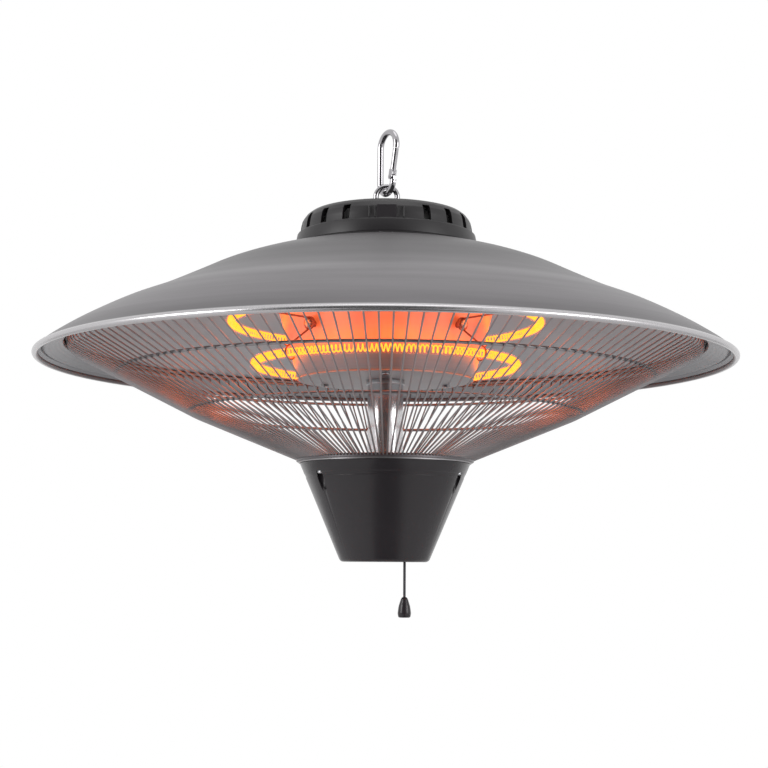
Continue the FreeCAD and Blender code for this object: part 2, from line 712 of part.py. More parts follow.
def make_cap():
    base_out = V(CAP_BASE_R, 0, GASKET_OUT_Z + GASKET_T)
    base_in = V(GASKET_IN_R, 0, GASKET_IN_Z + GASKET_T)
    ledge = V(CAP_LEDGE_R, 0, CAP_LEDGE_Z)
    ledge_in = V(CAP_BODY_R, 0, CAP_LEDGE_Z)
    shoulder = V(CAP_BODY_R - CAP_TOP_DRAFT, 0, CAP_SHOULDER_Z)
    top = V(CAP_TOP_R, 0, CAP_TOP)
    centre = V(0, 0, CAP_TOP)
    middle = (shoulder + top) * 0.5 + V(CAP_BULGE, 0, CAP_BULGE)
    inner_r = GASKET_IN_R - CAP_WALL
    roof = V(0, 0, CAP_TOP - CAP_WALL)
    chamfer = V(CAP_TOP_R - CAP_WALL, 0, CAP_TOP - CAP_WALL)
    wall_top = V(inner_r, 0, CAP_SHOULDER_Z)
    wall_low = V(inner_r, 0, base_in.z)
    edges = [
        line(base_in, base_out), line(base_out, ledge), line(ledge, ledge_in), line(ledge_in, shoulder),
        arc(shoulder, middle, top), line(top, centre), line(centre, roof), line(roof, chamfer),
        line(chamfer, wall_top), line(wall_top, wall_low), line(wall_low, base_in),
    ]
    cap = turned_edges(edges)
    slot_low = CAP_LEDGE_Z + 1
    slot = Part.makeBox(SLOT_W, 20, SLOT_H, V(-SLOT_W / 2, -CAP_BODY_R - 10, slot_low))
    slot_angles = []
    for step in range(SLOT_COUNT):
        angle = SLOT_PITCH * (step + 0.5)
        if SLOT_PITCH < angle < 180 - SLOT_PITCH or 180 + SLOT_PITCH < angle < 360 - SLOT_PITCH:
            slot_angles.append(angle)
    cap = cap.cut(Part.makeCompound(spun(slot, slot_angles)))
    rib = cylinder(RIB_R, slot_low, slot_low + SLOT_H - 4, 0, -CAP_BODY_R + 0.6)
    rib_angles = [sign * angle for angle in RIB_ANGLES for sign in (1, -1)]
    for copy in spun(rib, rib_angles):
        cap = cap.fuse(copy)
    for angle in BOSS_ANGLES:
        spot = polar(BOSS_PITCH_R, angle, 0)
        boss = cylinder(BOSS_R, CROWN_Z, CAP_TOP - CAP_WALL, spot.x, spot.y)
        bore = cylinder(SMALL_SCREW_R + RUN_FIT, CROWN_Z, CROWN_Z + 14, spot.x, spot.y)
        cap = cap.fuse(boss).cut(bore)
    cap = cap.cut(cylinder(ROD_R + SLIP, CAP_TOP - 10, CAP_TOP + 1))
    return cap.cut(cylinder(GLAND_THREAD_R + SLIP, CAP_TOP - 10, CAP_TOP + 1, 0, GLAND_Y))


def make_gland():
    thread = cylinder(GLAND_THREAD_R, CAP_TOP - GLAND_TAIL, CAP_TOP, 0, GLAND_Y)
    collar = hexagon(GLAND_FLATS, CAP_TOP, CAP_TOP + GLAND_HEX_H, 0, GLAND_Y)
    dome_top = CAP_TOP + GLAND_HEX_H + GLAND_DOME_H
    dome = cylinder(GLAND_FLATS / 2 - 0.5, CAP_TOP + GLAND_HEX_H, dome_top, 0, GLAND_Y)
    dome_edge = [edge for edge in dome.Edges if edge.Closed and edge.CenterOfMass.z > dome_top - 0.1]
    dome = dome.makeFillet(4.0, dome_edge)
    bore = cylinder(GLAND_BORE_R, CAP_TOP - GLAND_TAIL - 1, dome_top + 1, 0, GLAND_Y)
    return thread.fuse(collar).fuse(dome).cut(bore)


def make_gland_nut():
    low = CAP_TOP - CAP_WALL - GLAND_NUT_H
    nut = hexagon(GLAND_NUT_FLATS, low, CAP_TOP - CAP_WALL, 0, GLAND_Y)
    return nut.cut(cylinder(GLAND_THREAD_R + RUN_FIT, low - 1, CAP_TOP, 0, GLAND_Y))


TERMINAL_FACE_X = TERMINAL_X - TERMINAL_SIZE[0] / 2


def terminal_rows():
    middle = (TERMINAL_SCREWS - 1) / 2
    return [TERMINAL_PITCH * (index - middle) for index in range(TERMINAL_SCREWS)]


def make_terminal_block():
    length, width, height = TERMINAL_SIZE
    block = Part.makeBox(length, width, height, V(TERMINAL_FACE_X, -width / 2, CROWN_Z))
    for row in terminal_rows():
        well = cylinder(SMALL_HEAD_R, CROWN_Z + height - 5, CROWN_Z + height + 1, TERMINAL_X, row)
        shaft = cylinder(SMALL_SCREW_R + RUN_FIT, CROWN_Z + height - 14, CROWN_Z + height, TERMINAL_X, row)
        block = block.cut(well).cut(shaft)
    return block


def make_terminal_screws():
    seat = CROWN_Z + TERMINAL_SIZE[2] - 5
    return [pan_screw(V(TERMINAL_X, row, seat), V(0, 0, -1), 8) for row in terminal_rows()]


def make_lead_grommet():
    inner = GROMMET_R - SLIP - GROMMET_WALL
    sleeve = pipe(GROMMET_R - SLIP, inner, CROWN_Z - CANOPY_SHEET - 2, CROWN_Z, 0, GROMMET_Y)
    lip = pipe(GROMMET_R + 2, inner, CROWN_Z, CROWN_Z + 1.5, 0, GROMMET_Y)
    return sleeve.fuse(lip)


def make_loom():
    """Switch cable down the column, and a lead from each ceramic holder to its terminal."""
    terminal_low = CROWN_Z + CABLE_RISE
    drop_y = GROMMET_Y - 2.5
    cable = rounded_path([
        V(TERMINAL_FACE_X, 16, terminal_low), V(0, drop_y, terminal_low), V(0, drop_y, DRUM_FLOOR + 42),
        V(0, CABLE_OFFSET, DRUM_FLOOR + 12), V(0, CABLE_OFFSET, CUP_H - 22),
        V(SWITCH_X + SWITCH_L / 2, CABLE_OFFSET - 2, CUP_H - 22),
        V(SWITCH_X + SWITCH_L / 2, CORD_Y + SWITCH_W / 2, CUP_H - 22),
    ], 2 * CABLE_R)
    solids = [swept(cable, CABLE_R)]
    holders = (
        (LOWER_RING_Z, LOWER_END_ANGLE, V(4.5, GROMMET_Y + 1.5, 0)),
        (LOWER_RING_Z, -LOWER_END_ANGLE, V(-4.5, GROMMET_Y + 1.5, 0)),
        (UPPER_RING_Z, UPPER_END_ANGLE, V(2.0, GROMMET_Y + 4.5, 0)),
        (UPPER_RING_Z, -UPPER_END_ANGLE, V(-2.0, GROMMET_Y + 4.5, 0)),
    )
    for index, (height, angle, through) in enumerate(holders):
        level = CROWN_Z + LEAD_RISE + LEAD_STEP * index
        lead = rounded_path([
            polar(holder_seat(height), angle, height), polar(drum_radius(height) - 20, angle, height),
            through + V(0, 0, height + 8), through + V(0, 0, level),
            V(TERMINAL_FACE_X, terminal_rows()[index], level),
        ], 2.5)
        solids.append(swept(lead, LEAD_R))
    block = make_terminal_block()
    return [solid.cut(block) for solid in solids]


# Tie rod, sleeve, nuts and eye bolt
ROD_LOW = CUP_H - WASHER_T - NUT_H - ROD_TAIL
ROD_HIGH = CROWN_Z + CAP_H / 2


def make_coupling_nut():
    nut = hexagon(NUT_FLATS, CROWN_Z + WASHER_T, CAP_TOP - CAP_WALL)
    return nut.cut(cylinder(ROD_R + RUN_FIT, CROWN_Z, CAP_TOP))


def make_lower_nut():
    nut = hexagon(NUT_FLATS, CUP_H - WASHER_T - NUT_H, CUP_H - WASHER_T)
    return nut.cut(cylinder(ROD_R + RUN_FIT, 0, CUP_H))


def make_eye_bolt():
    ring = Part.makeTorus(EYE_R, EYE_WIRE_R, V(0, 0, EYE_Z), V(0, 1, 0))
    shank = cylinder(ROD_R, ROD_HIGH + 1, CAP_TOP)
    collar = Part.makeCone(EYE_COLLAR_R, EYE_WIRE_R + 0.4, EYE_COLLAR_H, V(0, 0, CAP_TOP), UP)
    return shank.fuse(collar).fuse(ring)


# Snap hook, drawn in a plane of (u, height) with the spine at the left and the gate at the right
def hook_turned(shape):
    shape.rotate(AXIS, UP, HOOK_TURN - 90)
    return shape


def hook_arc(radius, u, height, first, last):
    def at(angle):
        turn = math.radians(angle)
        return V(u + radius * math.cos(turn), 0, height + radius * math.sin(turn))
    return arc(at(first), at((first + last) / 2), at(last))


GATE_TURN = math.radians(GATE_SLANT)
GATE_UP = V(math.sin(GATE_TURN), 0, math.cos(GATE_TURN))
NOSE = V(HOOK_TOP_U + HOOK_TOP_R * math.cos(GATE_TURN), 0, HOOK_TOP_Z - HOOK_TOP_R * math.sin(GATE_TURN))
GATE_PIVOT = NOSE - GATE_UP * GATE_L
KNUCKLE_R = GATE_R


def pin_disc(radius, half_width):
    return Part.makeCylinder(radius, 2 * half_width, GATE_PIVOT - V(0, half_width, 0), V(0, 1, 0))


def make_hook():
    foot = V(HOOK_BOTTOM_R, 0, HOOK_BOTTOM_Z)
    path = Part.Wire([
        hook_arc(HOOK_BOTTOM_R, 0, HOOK_BOTTOM_Z, 0, -180),
        line(V(-HOOK_BOTTOM_R, 0, HOOK_BOTTOM_Z), V(-HOOK_BOTTOM_R, 0, HOOK_TOP_Z)),
        hook_arc(HOOK_TOP_R, HOOK_TOP_U, HOOK_TOP_Z, 180, -GATE_SLANT),
    ])
    body = swept(path, HOOK_WIRE_R)
    rise = GATE_PIVOT.z - foot.z
    corner = foot - V(KNUCKLE_R, TONGUE_T / 2, HOOK_WIRE_R)
    tongue = Part.makeBox(2 * KNUCKLE_R, TONGUE_T, rise + HOOK_WIRE_R, corner)
    tongue = tongue.fuse(pin_disc(KNUCKLE_R, TONGUE_T / 2))
    body = body.fuse(tongue).cut(pin_disc(GATE_PIN_R, TONGUE_T))
    return hook_turned(body)


def make_gate():
    start = GATE_PIVOT + GATE_UP * (KNUCKLE_R + 2)
    bar = rod_between(start, NOSE - GATE_UP * (FREE_GAP + 0.2), GATE_R)
    gate = bar
    for side in (1, -1):
        inner = TONGUE_T / 2 + FREE_GAP
        low = inner if side > 0 else -inner - EAR_T
        ear = Part.makeCylinder(KNUCKLE_R - 0.1, EAR_T, GATE_PIVOT + V(0, low, 0), V(0, 1, 0))
        strap = Part.makeBox(2 * KNUCKLE_R - 1, EAR_T, KNUCKLE_R + 4, V(-KNUCKLE_R + 0.5, low, 0))
        strap.Placement = FreeCAD.Placement(GATE_PIVOT, FreeCAD.Rotation(V(0, 1, 0), GATE_SLANT))
        gate = gate.fuse(ear).fuse(strap)
    gate = gate.cut(pin_disc(GATE_PIN_R + RUN_FIT, 2 * TONGUE_T))
    return hook_turned(gate)


def make_gate_pin():
    return hook_turned(pin_disc(GATE_PIN_R, TONGUE_T / 2 + FREE_GAP + EAR_T + 0.3))


# Pull switch: body hung under the hub plate, lever with a forked end, cord through the fork
SWITCH_X = CORD_X - LEVER_ARM + SWITCH_NOSE - SWITCH_L
SWITCH_Z = CUP_H - SWITCH_H
PIVOT = V(CORD_X - LEVER_ARM, CORD_Y, SWITCH_Z + LEVER_PIVOT_RISE)
SWITCH_SCREW_X = (SWITCH_X + SWITCH_SCREW_IN, SWITCH_X + SWITCH_L - SWITCH_SCREW_IN)
FERRULE_Z = PIVOT.z + LEVER_T / 2 + FREE_GAP + FERRULE_R
CORD_TOP = FERRULE_Z + 1


def across(radius, width):
    return Part.makeCylinder(radius, width, PIVOT - V(0, width / 2, 0), V(0, 1, 0))


def make_switch_body():
    body = Part.makeBox(SWITCH_L, SWITCH_W, SWITCH_H, V(SWITCH_X, CORD_Y - SWITCH_W / 2, SWITCH_Z))
    upright = [edge for edge in body.Edges if abs(edge.tangentAt(edge.FirstParameter).z) > 0.9]
    body = body.makeFillet(1.5, upright)
    slot_w = LEVER_W + 4 * FREE_GAP
    corner = V(PIVOT.x - 6, CORD_Y - slot_w / 2, SWITCH_Z - 1)
    slot = Part.makeBox(LEVER_ARM, slot_w, SWITCH_SLOT_H + 1, corner)
    body = body.cut(slot).cut(across(LEVER_PIN_R, SWITCH_W - 4))
    for x in SWITCH_SCREW_X:
        body = body.cut(cylinder(SMALL_SCREW_R + RUN_FIT, CUP_H - 9, CUP_H, x, CORD_Y))
    return body


def make_lever():
    length = LEVER_ARM + LEVER_TAIL + LEVER_TIP
    arm = Part.makeBox(length, LEVER_W, LEVER_T, PIVOT - V(LEVER_TAIL, LEVER_W / 2, LEVER_T / 2))
    fork_root = PIVOT + V(LEVER_ARM + LEVER_TIP - LEVER_FORK_L, -LEVER_FORK_GAP / 2, -LEVER_T)
    gap = Part.makeBox(LEVER_FORK_L + 1, LEVER_FORK_GAP, 2 * LEVER_T, fork_root)
    boss = across(LEVER_PIN_R + 1.5, LEVER_W)
    return arm.cut(gap).fuse(boss).cut(across(LEVER_PIN_R + RUN_FIT, LEVER_W + 2))


def make_ferrule():
    ball = Part.makeSphere(FERRULE_R, V(CORD_X, CORD_Y, FERRULE_Z))
    return ball.cut(cylinder(CORD_R, FERRULE_Z - FERRULE_R - 1, CORD_TOP, CORD_X, CORD_Y))


def make_cord_grommet():
    outer = GROMMET_CORD_R + GROMMET_CORD_WALL
    sleeve = pipe(outer - RUN_FIT, GROMMET_CORD_R, 0, CUP_WALL, CORD_X, CORD_Y)
    lip = pipe(outer + 1.5, GROMMET_CORD_R, CUP_WALL, CUP_WALL + GROMMET_CORD_LIP, CORD_X, CORD_Y)
    return sleeve.fuse(lip)


KNOB_TOP = -CORD_BELOW
CORD_END = KNOB_TOP - KNOB_SEAT


def make_knob():
    low = KNOB_TOP - KNOB_H
    foot = V(KNOB_R - 1.5, 0, low)
    foot_mid = V(KNOB_R - 0.35, 0, low + 1.1)
    belly = V(KNOB_R, 0, low + 3.4)
    waist_mid = V(KNOB_R - 0.8, 0, low + 9.3)
    neck = V(KNOB_NECK_R, 0, KNOB_TOP - 1.4)
    neck_mid = V(KNOB_NECK_R - 0.6, 0, KNOB_TOP - 0.3)
    crown = V(KNOB_NECK_R - 1.5, 0, KNOB_TOP)
    knob = turned_edges([
        line(V(0, 0, low), foot), arc(foot, foot_mid, belly), arc(belly, waist_mid, neck),
        arc(neck, neck_mid, crown), line(crown, V(0, 0, KNOB_TOP)), line(V(0, 0, KNOB_TOP), V(0, 0, low)),
    ])
    knob = knob.cut(cylinder(CORD_R, CORD_END, KNOB_TOP + 1))
    knob.translate(V(CORD_X, CORD_Y, 0))
    return knob


# Snap hook and eye
save("snap_hook_body", make_hook())
save("snap_hook_gate", make_gate())
save("snap_hook_gate_pin", make_gate_pin())
save("eye_bolt", make_eye_bolt())
save("coupling_nut", make_coupling_nut())
save("crown_washer", pipe(WASHER_R, ROD_R + RUN_FIT, CROWN_Z, CROWN_Z + WASHER_T))
save("tie_rod", cylinder(ROD_R, ROD_LOW, ROD_HIGH))
save("tie_rod_sleeve", pipe(SLEEVE_R, ROD_R + SLIP, DRUM_FLOOR, DRUM_FLOOR + SLEEVE_L))
save("tie_rod_nut", make_lower_nut())
save("tie_rod_washer", pipe(WASHER_R - 1.6, ROD_R + RUN_FIT, CUP_H - WASHER_T, CUP_H))

# Cap and supply
save("top_cap", make_cap())
save("cap_gasket", make_gasket())
cap_screws = []
for screw_angle in BOSS_ANGLES:
    cap_screws.append(pan_screw(polar(BOSS_PITCH_R, screw_angle, CROWN_Z - CANOPY_SHEET), UP, 12))
save("cap_screws", cap_screws)
save("cable_gland", make_gland())
save("cable_gland_nut", make_gland_nut())
save("terminal_block", make_terminal_block())
save("terminal_screws", make_terminal_screws())
save("lead_grommet", make_lead_grommet())
save("wire_loom", make_loom())

# Canopy, reflector, drum and column
save("canopy", make_canopy())
save("reflector", make_reflector())
save("drum", make_drum())
drum_screws = []
for screw_angle in DRUM_SCREW_ANGLES:
    seat_point = polar(DRUM_TOP_R - DRUM_FLANGE_W / 2, screw_angle, DRUM_TOP + REFLECTOR_SHEET)
    drum_screws.append(pan_screw(seat_point, V(0, 0, -1), 8))
save("drum_screws", drum_screws)
save("drum_plate", make_drum_plate())
plate_screws = []
for screw_angle in PLATE_SCREW_ANGLES:
    plate_screws.append(pan_screw(polar(PLATE_PITCH_R, screw_angle, DRUM_Z), UP, 8))
save("drum_plate_screws", plate_screws)
save("column_tube", pipe(COLUMN_R, COLUMN_R - COLUMN_WALL, HUB_TOP, DRUM_Z))
save("column_collar", pipe(COLLAR_R, COLUMN_R + RUN_FIT, DRUM_Z - COLLAR_H, DRUM_Z))

# Heating rings
save("upper_quartz_ring", make_quartz(UPPER_RING_R, UPPER_RING_Z, UPPER_END_ANGLE))
save("lower_quartz_ring", make_quartz(LOWER_RING_R, LOWER_RING_Z, LOWER_END_ANGLE))
save("upper_filament", make_filament("upper filament", UPPER_RING_R, UPPER_RING_Z, UPPER_END_ANGLE))
save("lower_filament", make_filament("lower filament", LOWER_RING_R, LOWER_RING_Z, LOWER_END_ANGLE))
upper_holders = [make_holder(UPPER_RING_Z, side * UPPER_END_ANGLE) for side in (1, -1)]
lower_holders = [make_holder(LOWER_RING_Z, side * LOWER_END_ANGLE) for side in (1, -1)]
save("ceramic_holders", upper_holders + lower_holders)
save("ring_brackets", spun(make_bracket(), BRACKET_ANGLES))
bracket_screw = pan_screw(bracket_screw_seat(), V(0, 1, 0), 12)
save("bracket_screws", spun(bracket_screw, BRACKET_ANGLES))

# Guard
wire_angles = [360 * (index + 0.5) / GUARD_WIRES for index in range(GUARD_WIRES)]
save("guard_wires", spun(make_guard_wire(), wire_angles))
save("guard_top_ring", Part.makeTorus(TOP_RING_R, GUARD_RING_R, V(0, 0, TOP_RING_Z)))
save("guard_upper_ring", guard_ring(GUARD_UPPER_RING_R, GUARD_KNEE, GUARD_SHOULDER))
save("guard_lower_ring", guard_ring(GUARD_LOWER_RING_R, GUARD_KNEE, GUARD_SHOULDER))
save("guard_band", make_guard_band())

# Switch cup
save("hub_plate", make_hub_plate())
save("switch_cup", make_cup())
cup_screws = []
for screw_angle in CUP_SCREW_ANGLES:
    cup_screws.append(pan_screw(polar(CUP_SCREW_PITCH_R, screw_angle, CUP_H - CUP_WEB), UP, CUP_SCREW_L))
save("cup_screws", cup_screws)
save("switch_body", make_switch_body())
switch_screws = [pan_screw(V(x, CORD_Y, HUB_TOP), V(0, 0, -1), 8) for x in SWITCH_SCREW_X]
save("switch_screws", switch_screws)
save("switch_lever", make_lever())
save("switch_lever_pin", across(LEVER_PIN_R, SWITCH_W - 4))
save("cord_grommet", make_cord_grommet())
save("pull_cord", cylinder(CORD_R, CORD_END, CORD_TOP, CORD_X, CORD_Y))
print("pull cord radius", CORD_R, "straight run", CORD_TOP - CORD_END)
save("cord_ferrule", make_ferrule())
save("pull_knob", make_knob())
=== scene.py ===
import math

import bpy
from mathutils import Matrix, Vector


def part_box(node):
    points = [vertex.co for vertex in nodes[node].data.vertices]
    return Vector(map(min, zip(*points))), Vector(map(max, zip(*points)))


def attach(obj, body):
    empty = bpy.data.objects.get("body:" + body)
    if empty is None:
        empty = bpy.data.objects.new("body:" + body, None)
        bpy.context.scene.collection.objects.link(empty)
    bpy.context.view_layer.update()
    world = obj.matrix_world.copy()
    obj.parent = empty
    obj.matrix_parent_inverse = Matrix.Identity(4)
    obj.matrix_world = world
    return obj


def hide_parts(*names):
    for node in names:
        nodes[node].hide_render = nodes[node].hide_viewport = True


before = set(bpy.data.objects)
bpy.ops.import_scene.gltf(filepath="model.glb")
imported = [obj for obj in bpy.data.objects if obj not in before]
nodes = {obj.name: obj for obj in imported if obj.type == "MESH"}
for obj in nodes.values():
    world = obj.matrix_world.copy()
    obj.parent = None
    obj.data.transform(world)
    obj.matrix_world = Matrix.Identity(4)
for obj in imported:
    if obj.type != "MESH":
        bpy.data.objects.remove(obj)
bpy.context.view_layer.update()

# Snap hook
# A spring snap hook bent from round steel bar and chrome plated. Its top arc hangs in the ceiling
# ring, its bottom arc carries the heater's eye, and a sprung gate closes its open side.


class Shade:
    """A socket in a material's node tree; sums and products on it add Math nodes."""

    def __init__(self, tree, socket=None):
        self.tree = tree
        self.socket = socket

    def node(self, kind, settings=None, sockets=None, output=0):
        """Add a node, set its settings, then give its sockets their values or links."""
        made = self.tree.nodes.new("ShaderNode" + kind)
        for key, value in (settings or {}).items():
            if key == "stops":
                for index, (place, tone) in enumerate(value):
                    stops = made.color_ramp.elements
                    stop = stops[index] if index < 2 else stops.new(place)
                    stop.position = place
                    stop.color = tone
            else:
                setattr(made, key, value)
        for key, value in (sockets or {}).items():
            if isinstance(value, Shade):
                self.tree.links.new(value.socket, made.inputs[key])
            else:
                made.inputs[key].default_value = value
        return Shade(self.tree, made.outputs[output] if made.outputs else None)

    def sum(self, operation, first, second):
        return self.node("Math", {"operation": operation}, {0: first, 1: second})

    def __add__(self, other):
        return self.sum("ADD", self, other)

    def __sub__(self, other):
        return self.sum("SUBTRACT", self, other)

    def __mul__(self, other):
        return self.sum("MULTIPLY", self, other)

    def __truediv__(self, other):
        return self.sum("DIVIDE", self, other)

    __radd__ = __add__
    __rmul__ = __mul__

    def between(self, low, high):
        """Run from 0 at low to 1 at high, held at both ends."""
        return self.node("MapRange", {}, {"Value": self, "From Min": low, "From Max": high})

    def mix(self, first, second):
        """Colour that goes from the first to the second as this value goes from 0 to 1."""
        return self.node("Mix", {"data_type": "RGBA"}, {0: self, 6: first, 7: second}, 2)


def colour(red, green, blue):
    """Linear colour of a shade given in 0 to 255 display values."""
    linear = []
    for part in (red, green, blue):
        share = part / 255
        linear.append(share / 12.92 if share <= 0.04045 else ((share + 0.055) / 1.055) ** 2.4)
    return (*linear, 1.0)


def scaled(tone, share):
    return (*(part * share for part in tone[:3]), 1.0)


def new_finish(name):
    material = bpy.data.materials.new(name)
    material.use_nodes = True
    material.node_tree.nodes.clear()
    return material, Shade(material.node_tree)


def place_on(shade):
    """Object coordinates, in metres."""
    return shade.node("TexCoord", {}, {}, "Object")


def noise(shade, place, per_metre, detail=3.0):
    return shade.node("TexNoise", {}, {"Vector": place, "Scale": per_metre, "Detail": detail})


def bump(shade, height, strength, distance=0.0002):
    return shade.node("Bump", {}, {"Height": height, "Strength": strength, "Distance": distance})


def surface(shade, sockets):
    lit = shade.node("BsdfPrincipled", {}, sockets)
    shade.node("OutputMaterial", {}, {"Surface": lit})


def plated_finish(name, tone, roughness, smudge=0.08, metal=1.0):
    """Bright plated or polished metal with faint smudges and fine polishing marks."""
    material, shade = new_finish(name)
    place = place_on(shade)
    clouds = noise(shade, place, per_metre=60.0)
    marks = noise(shade, place, per_metre=1800.0, detail=1.0)
    surface(shade, {
        "Base Color": clouds.mix(scaled(tone, 0.86), tone),
        "Metallic": metal,
        "Roughness": roughness + smudge * (clouds - 0.5) + 0.03 * marks,
        "Normal": bump(shade, marks, strength=0.04),
    })
    return material


def coat(finish, *names):
    """Give CAD nodes their finish."""
    for name in names:
        nodes[name].data.materials.clear()
        nodes[name].data.materials.append(finish)


chrome = plated_finish("chrome_plate", colour(172, 170, 173), roughness=0.15)
coat(chrome, "snap_hook_body", "snap_hook_gate", "snap_hook_gate_pin")

# Eye bolt
# A forged and plated lifting eye. Its collar bears on the cap and its shank screws into the long
# nut inside, so the whole weight goes from the tie rod straight into the hook.
MM = 0.001
CUP_FLOOR_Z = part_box("switch_cup")[0].z
SMOOTH_ANGLE = math.radians(32)
MERGE_GAP = 1e-6
CORNER_REACH = 0.45
CAP_TOP_H = 303.0
EYE_H = 318.5
EYE_R = 9.4
EYE_BAR_R = 2.4
EYE_SHANK_R = 4.0
EYE_SHANK_L = 14.0
EYE_COLLAR_R = 6.0
EYE_COLLAR_T = 1.6
EYE_NECK_R = 2.9
EYE_NECK_L = 4.6
EYE_EDGE = 0.5


def deselect():
    if bpy.context.mode != "OBJECT":
        bpy.ops.object.mode_set(mode="OBJECT")
    bpy.ops.object.select_all(action="DESELECT")


def level(height):
    """Height in the frame of a height in millimetres above the cup's flat floor."""
    return CUP_FLOOR_Z + height * MM


def fit(piece, name, finish, body, slot, *replaced):
    """Name a finished piece, give it its finish and let it stand for its CAD nodes."""
    piece.name = name
    piece.data.name = name
    piece.data.materials.clear()
    piece.data.materials.append(finish)
    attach(piece, body)
    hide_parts(*replaced)


def round_curve(kind, points, radius, sides):
    """Curve of one kind through points, with a round bevel that gives it its thickness."""
    deselect()
    bpy.ops.curve.primitive_nurbs_path_add()
    curve = bpy.context.object.data
    curve.splines.clear()
    spline = curve.splines.new(kind)
    spline.points.add(len(points) - 1)
    for spot, place in zip(spline.points, points):
        spot.co = (*place, 1.0)
    curve.bevel_depth = radius * MM
    curve.bevel_resolution = sides
    curve.use_fill_caps = True
    return bpy.context.object


def bent_wire(points, radius, sides, closed=False):
    """Round wire along points, drawn as a curve and made a mesh."""
    curve = round_curve("POLY", points, radius, sides).data
    curve.splines[0].use_cyclic_u = closed
    curve.use_fill_caps = not closed
    bpy.ops.object.convert(target="MESH")
    bpy.ops.object.shade_smooth_by_angle(angle=SMOOTH_ANGLE)
    return bpy.context.object


def join(pieces):
    deselect()
    for piece in pieces:
        piece.select_set(True)
    bpy.context.view_layer.objects.active = pieces[0]
    bpy.ops.object.join()
    return bpy.context.object


def turned(outline, steps):
    """Draw an outline of (radius, height) by extruding one point, then spin it about the axis."""
    deselect()
    bpy.ops.mesh.primitive_plane_add(size=MM)
    bpy.ops.object.mode_set(mode="EDIT")
    bpy.ops.mesh.select_all(action="SELECT")
    bpy.ops.mesh.merge(type="CENTER")
    places = [Vector((radius * MM, 0, level(height))) for radius, height in outline]
    bpy.ops.transform.translate(value=places[0])
    for before, after in zip(places, places[1:]):
        bpy.ops.mesh.extrude_vertices_move(TRANSFORM_OT_translate={"value": after - before})
    bpy.ops.mesh.select_all(action="SELECT")
    bpy.ops.mesh.spin(steps=steps, angle=2 * math.pi, center=(0, 0, 0), axis=(0, 0, 1))
    bpy.ops.mesh.select_all(action="SELECT")
    bpy.ops.mesh.remove_doubles(threshold=MERGE_GAP)
    bpy.ops.mesh.normals_make_consistent(inside=False)
    bpy.ops.object.mode_set(mode="OBJECT")
    bpy.ops.object.shade_smooth_by_angle(angle=SMOOTH_ANGLE)
    return bpy.context.object


def softened(outline, edge, parts=4, closed=True):
    """Round every corner of an outline, as a press tool or mould leaves it."""
    points = [Vector(point) for point in outline]
    if closed:
        corners = zip(points[-1:] + points[:-1], points, points[1:] + points[:1])
    else:
        corners = zip(points, points[1:], points[2:])
    soft = []
    for before, corner, after in corners:
        back = before - corner
        ahead = after - corner
        cut = min(edge, CORNER_REACH * back.length, CORNER_REACH * ahead.length)
        first = corner + back.normalized() * cut
        last = corner + ahead.normalized() * cut
        for step in range(parts + 1):
            share = step / parts
            one = first.lerp(corner, share)
            two = corner.lerp(last, share)
            soft.append(one.lerp(two, share))
    return soft + soft[:1] if closed else points[:1] + soft + points[-1:]


def circle_points(radius, height, parts=96):
    """Points of a circle that stands in the plane of the front."""
    points = []
    for step in range(parts):
        turn = 2 * math.pi * step / parts
        rise = level(height + radius * math.sin(turn))
        points.append(Vector((radius * MM * math.cos(turn), 0, rise)))
    return points


eye_ring = bent_wire(circle_points(EYE_R, EYE_H), EYE_BAR_R, sides=6, closed=True)
shank_foot = CAP_TOP_H - EYE_SHANK_L
neck_top = CAP_TOP_H + EYE_NECK_L
eye_collar = turned(softened((
    (0, shank_foot), (EYE_SHANK_R, shank_foot), (EYE_SHANK_R, CAP_TOP_H), (EYE_COLLAR_R, CAP_TOP_H),
    (EYE_COLLAR_R, CAP_TOP_H + EYE_COLLAR_T), (EYE_NECK_R, neck_top), (0, neck_top),
), EYE_EDGE, closed=False), steps=48)
fit(join([eye_ring, eye_collar]), "lifting_eye", chrome, "heater", "chrome_plate", "eye_bolt")

# Cap
# A moulded black plastic cover over the terminals, with air slots round its shoulder, and thin ribs
# and a plain panel at the front. It sits on a rubber gasket, held by screws from inside the canopy.
CAP_BASE_R = 80.0
CAP_BASE_H = 271.5
CAP_FOOT_R = 75.0
CAP_FOOT_H = 272.5
CAP_LEDGE_R = 77.8
CAP_LEDGE_H = 283.0
CAP_WALL_R = 75.6
CAP_SHOULDER_H = 290.0
CAP_SHOULDER = ((74.6, 290.0), (73.5, 294.4), (70.4, 298.8), (66.6, 301.7), (62.0, CAP_TOP_H))
CAP_CEILING_R = 60.0
CAP_CEILING_H = 300.5
CAP_INNER_TOP_R = 72.0
CAP_INNER_FOOT_R = 72.5
CAP_BORE_R = 4.3
CAP_EDGE = 0.9
SLOT_COUNT = 20
SLOT_PITCH = 360 / SLOT_COUNT
SLOT_SIZE = (6.8, 20.0, 13.0)
SLOT_MIDDLE = (0, -CAP_WALL_R, 290.5)
RIB_ANGLES = (7.4, 11.0, -7.4, -11.0)
RIB_SIZE = (1.6, 2.0, 10.0)
RIB_MIDDLE = (0, -74.9, 288.9)
CUT_EDGE = 0.6
PANEL_SIZE = (16.8, 1.2, 11.6)
PANEL_MIDDLE = (0, -74.7, 289.2)
PANEL_EDGE = 0.5
GLAND_Y = 45.0
GLAND_HOLE_R = 8.0
GLAND_HOLE_FOOT_H = 295.0
GLAND_HOLE_TOP_H = 305.0


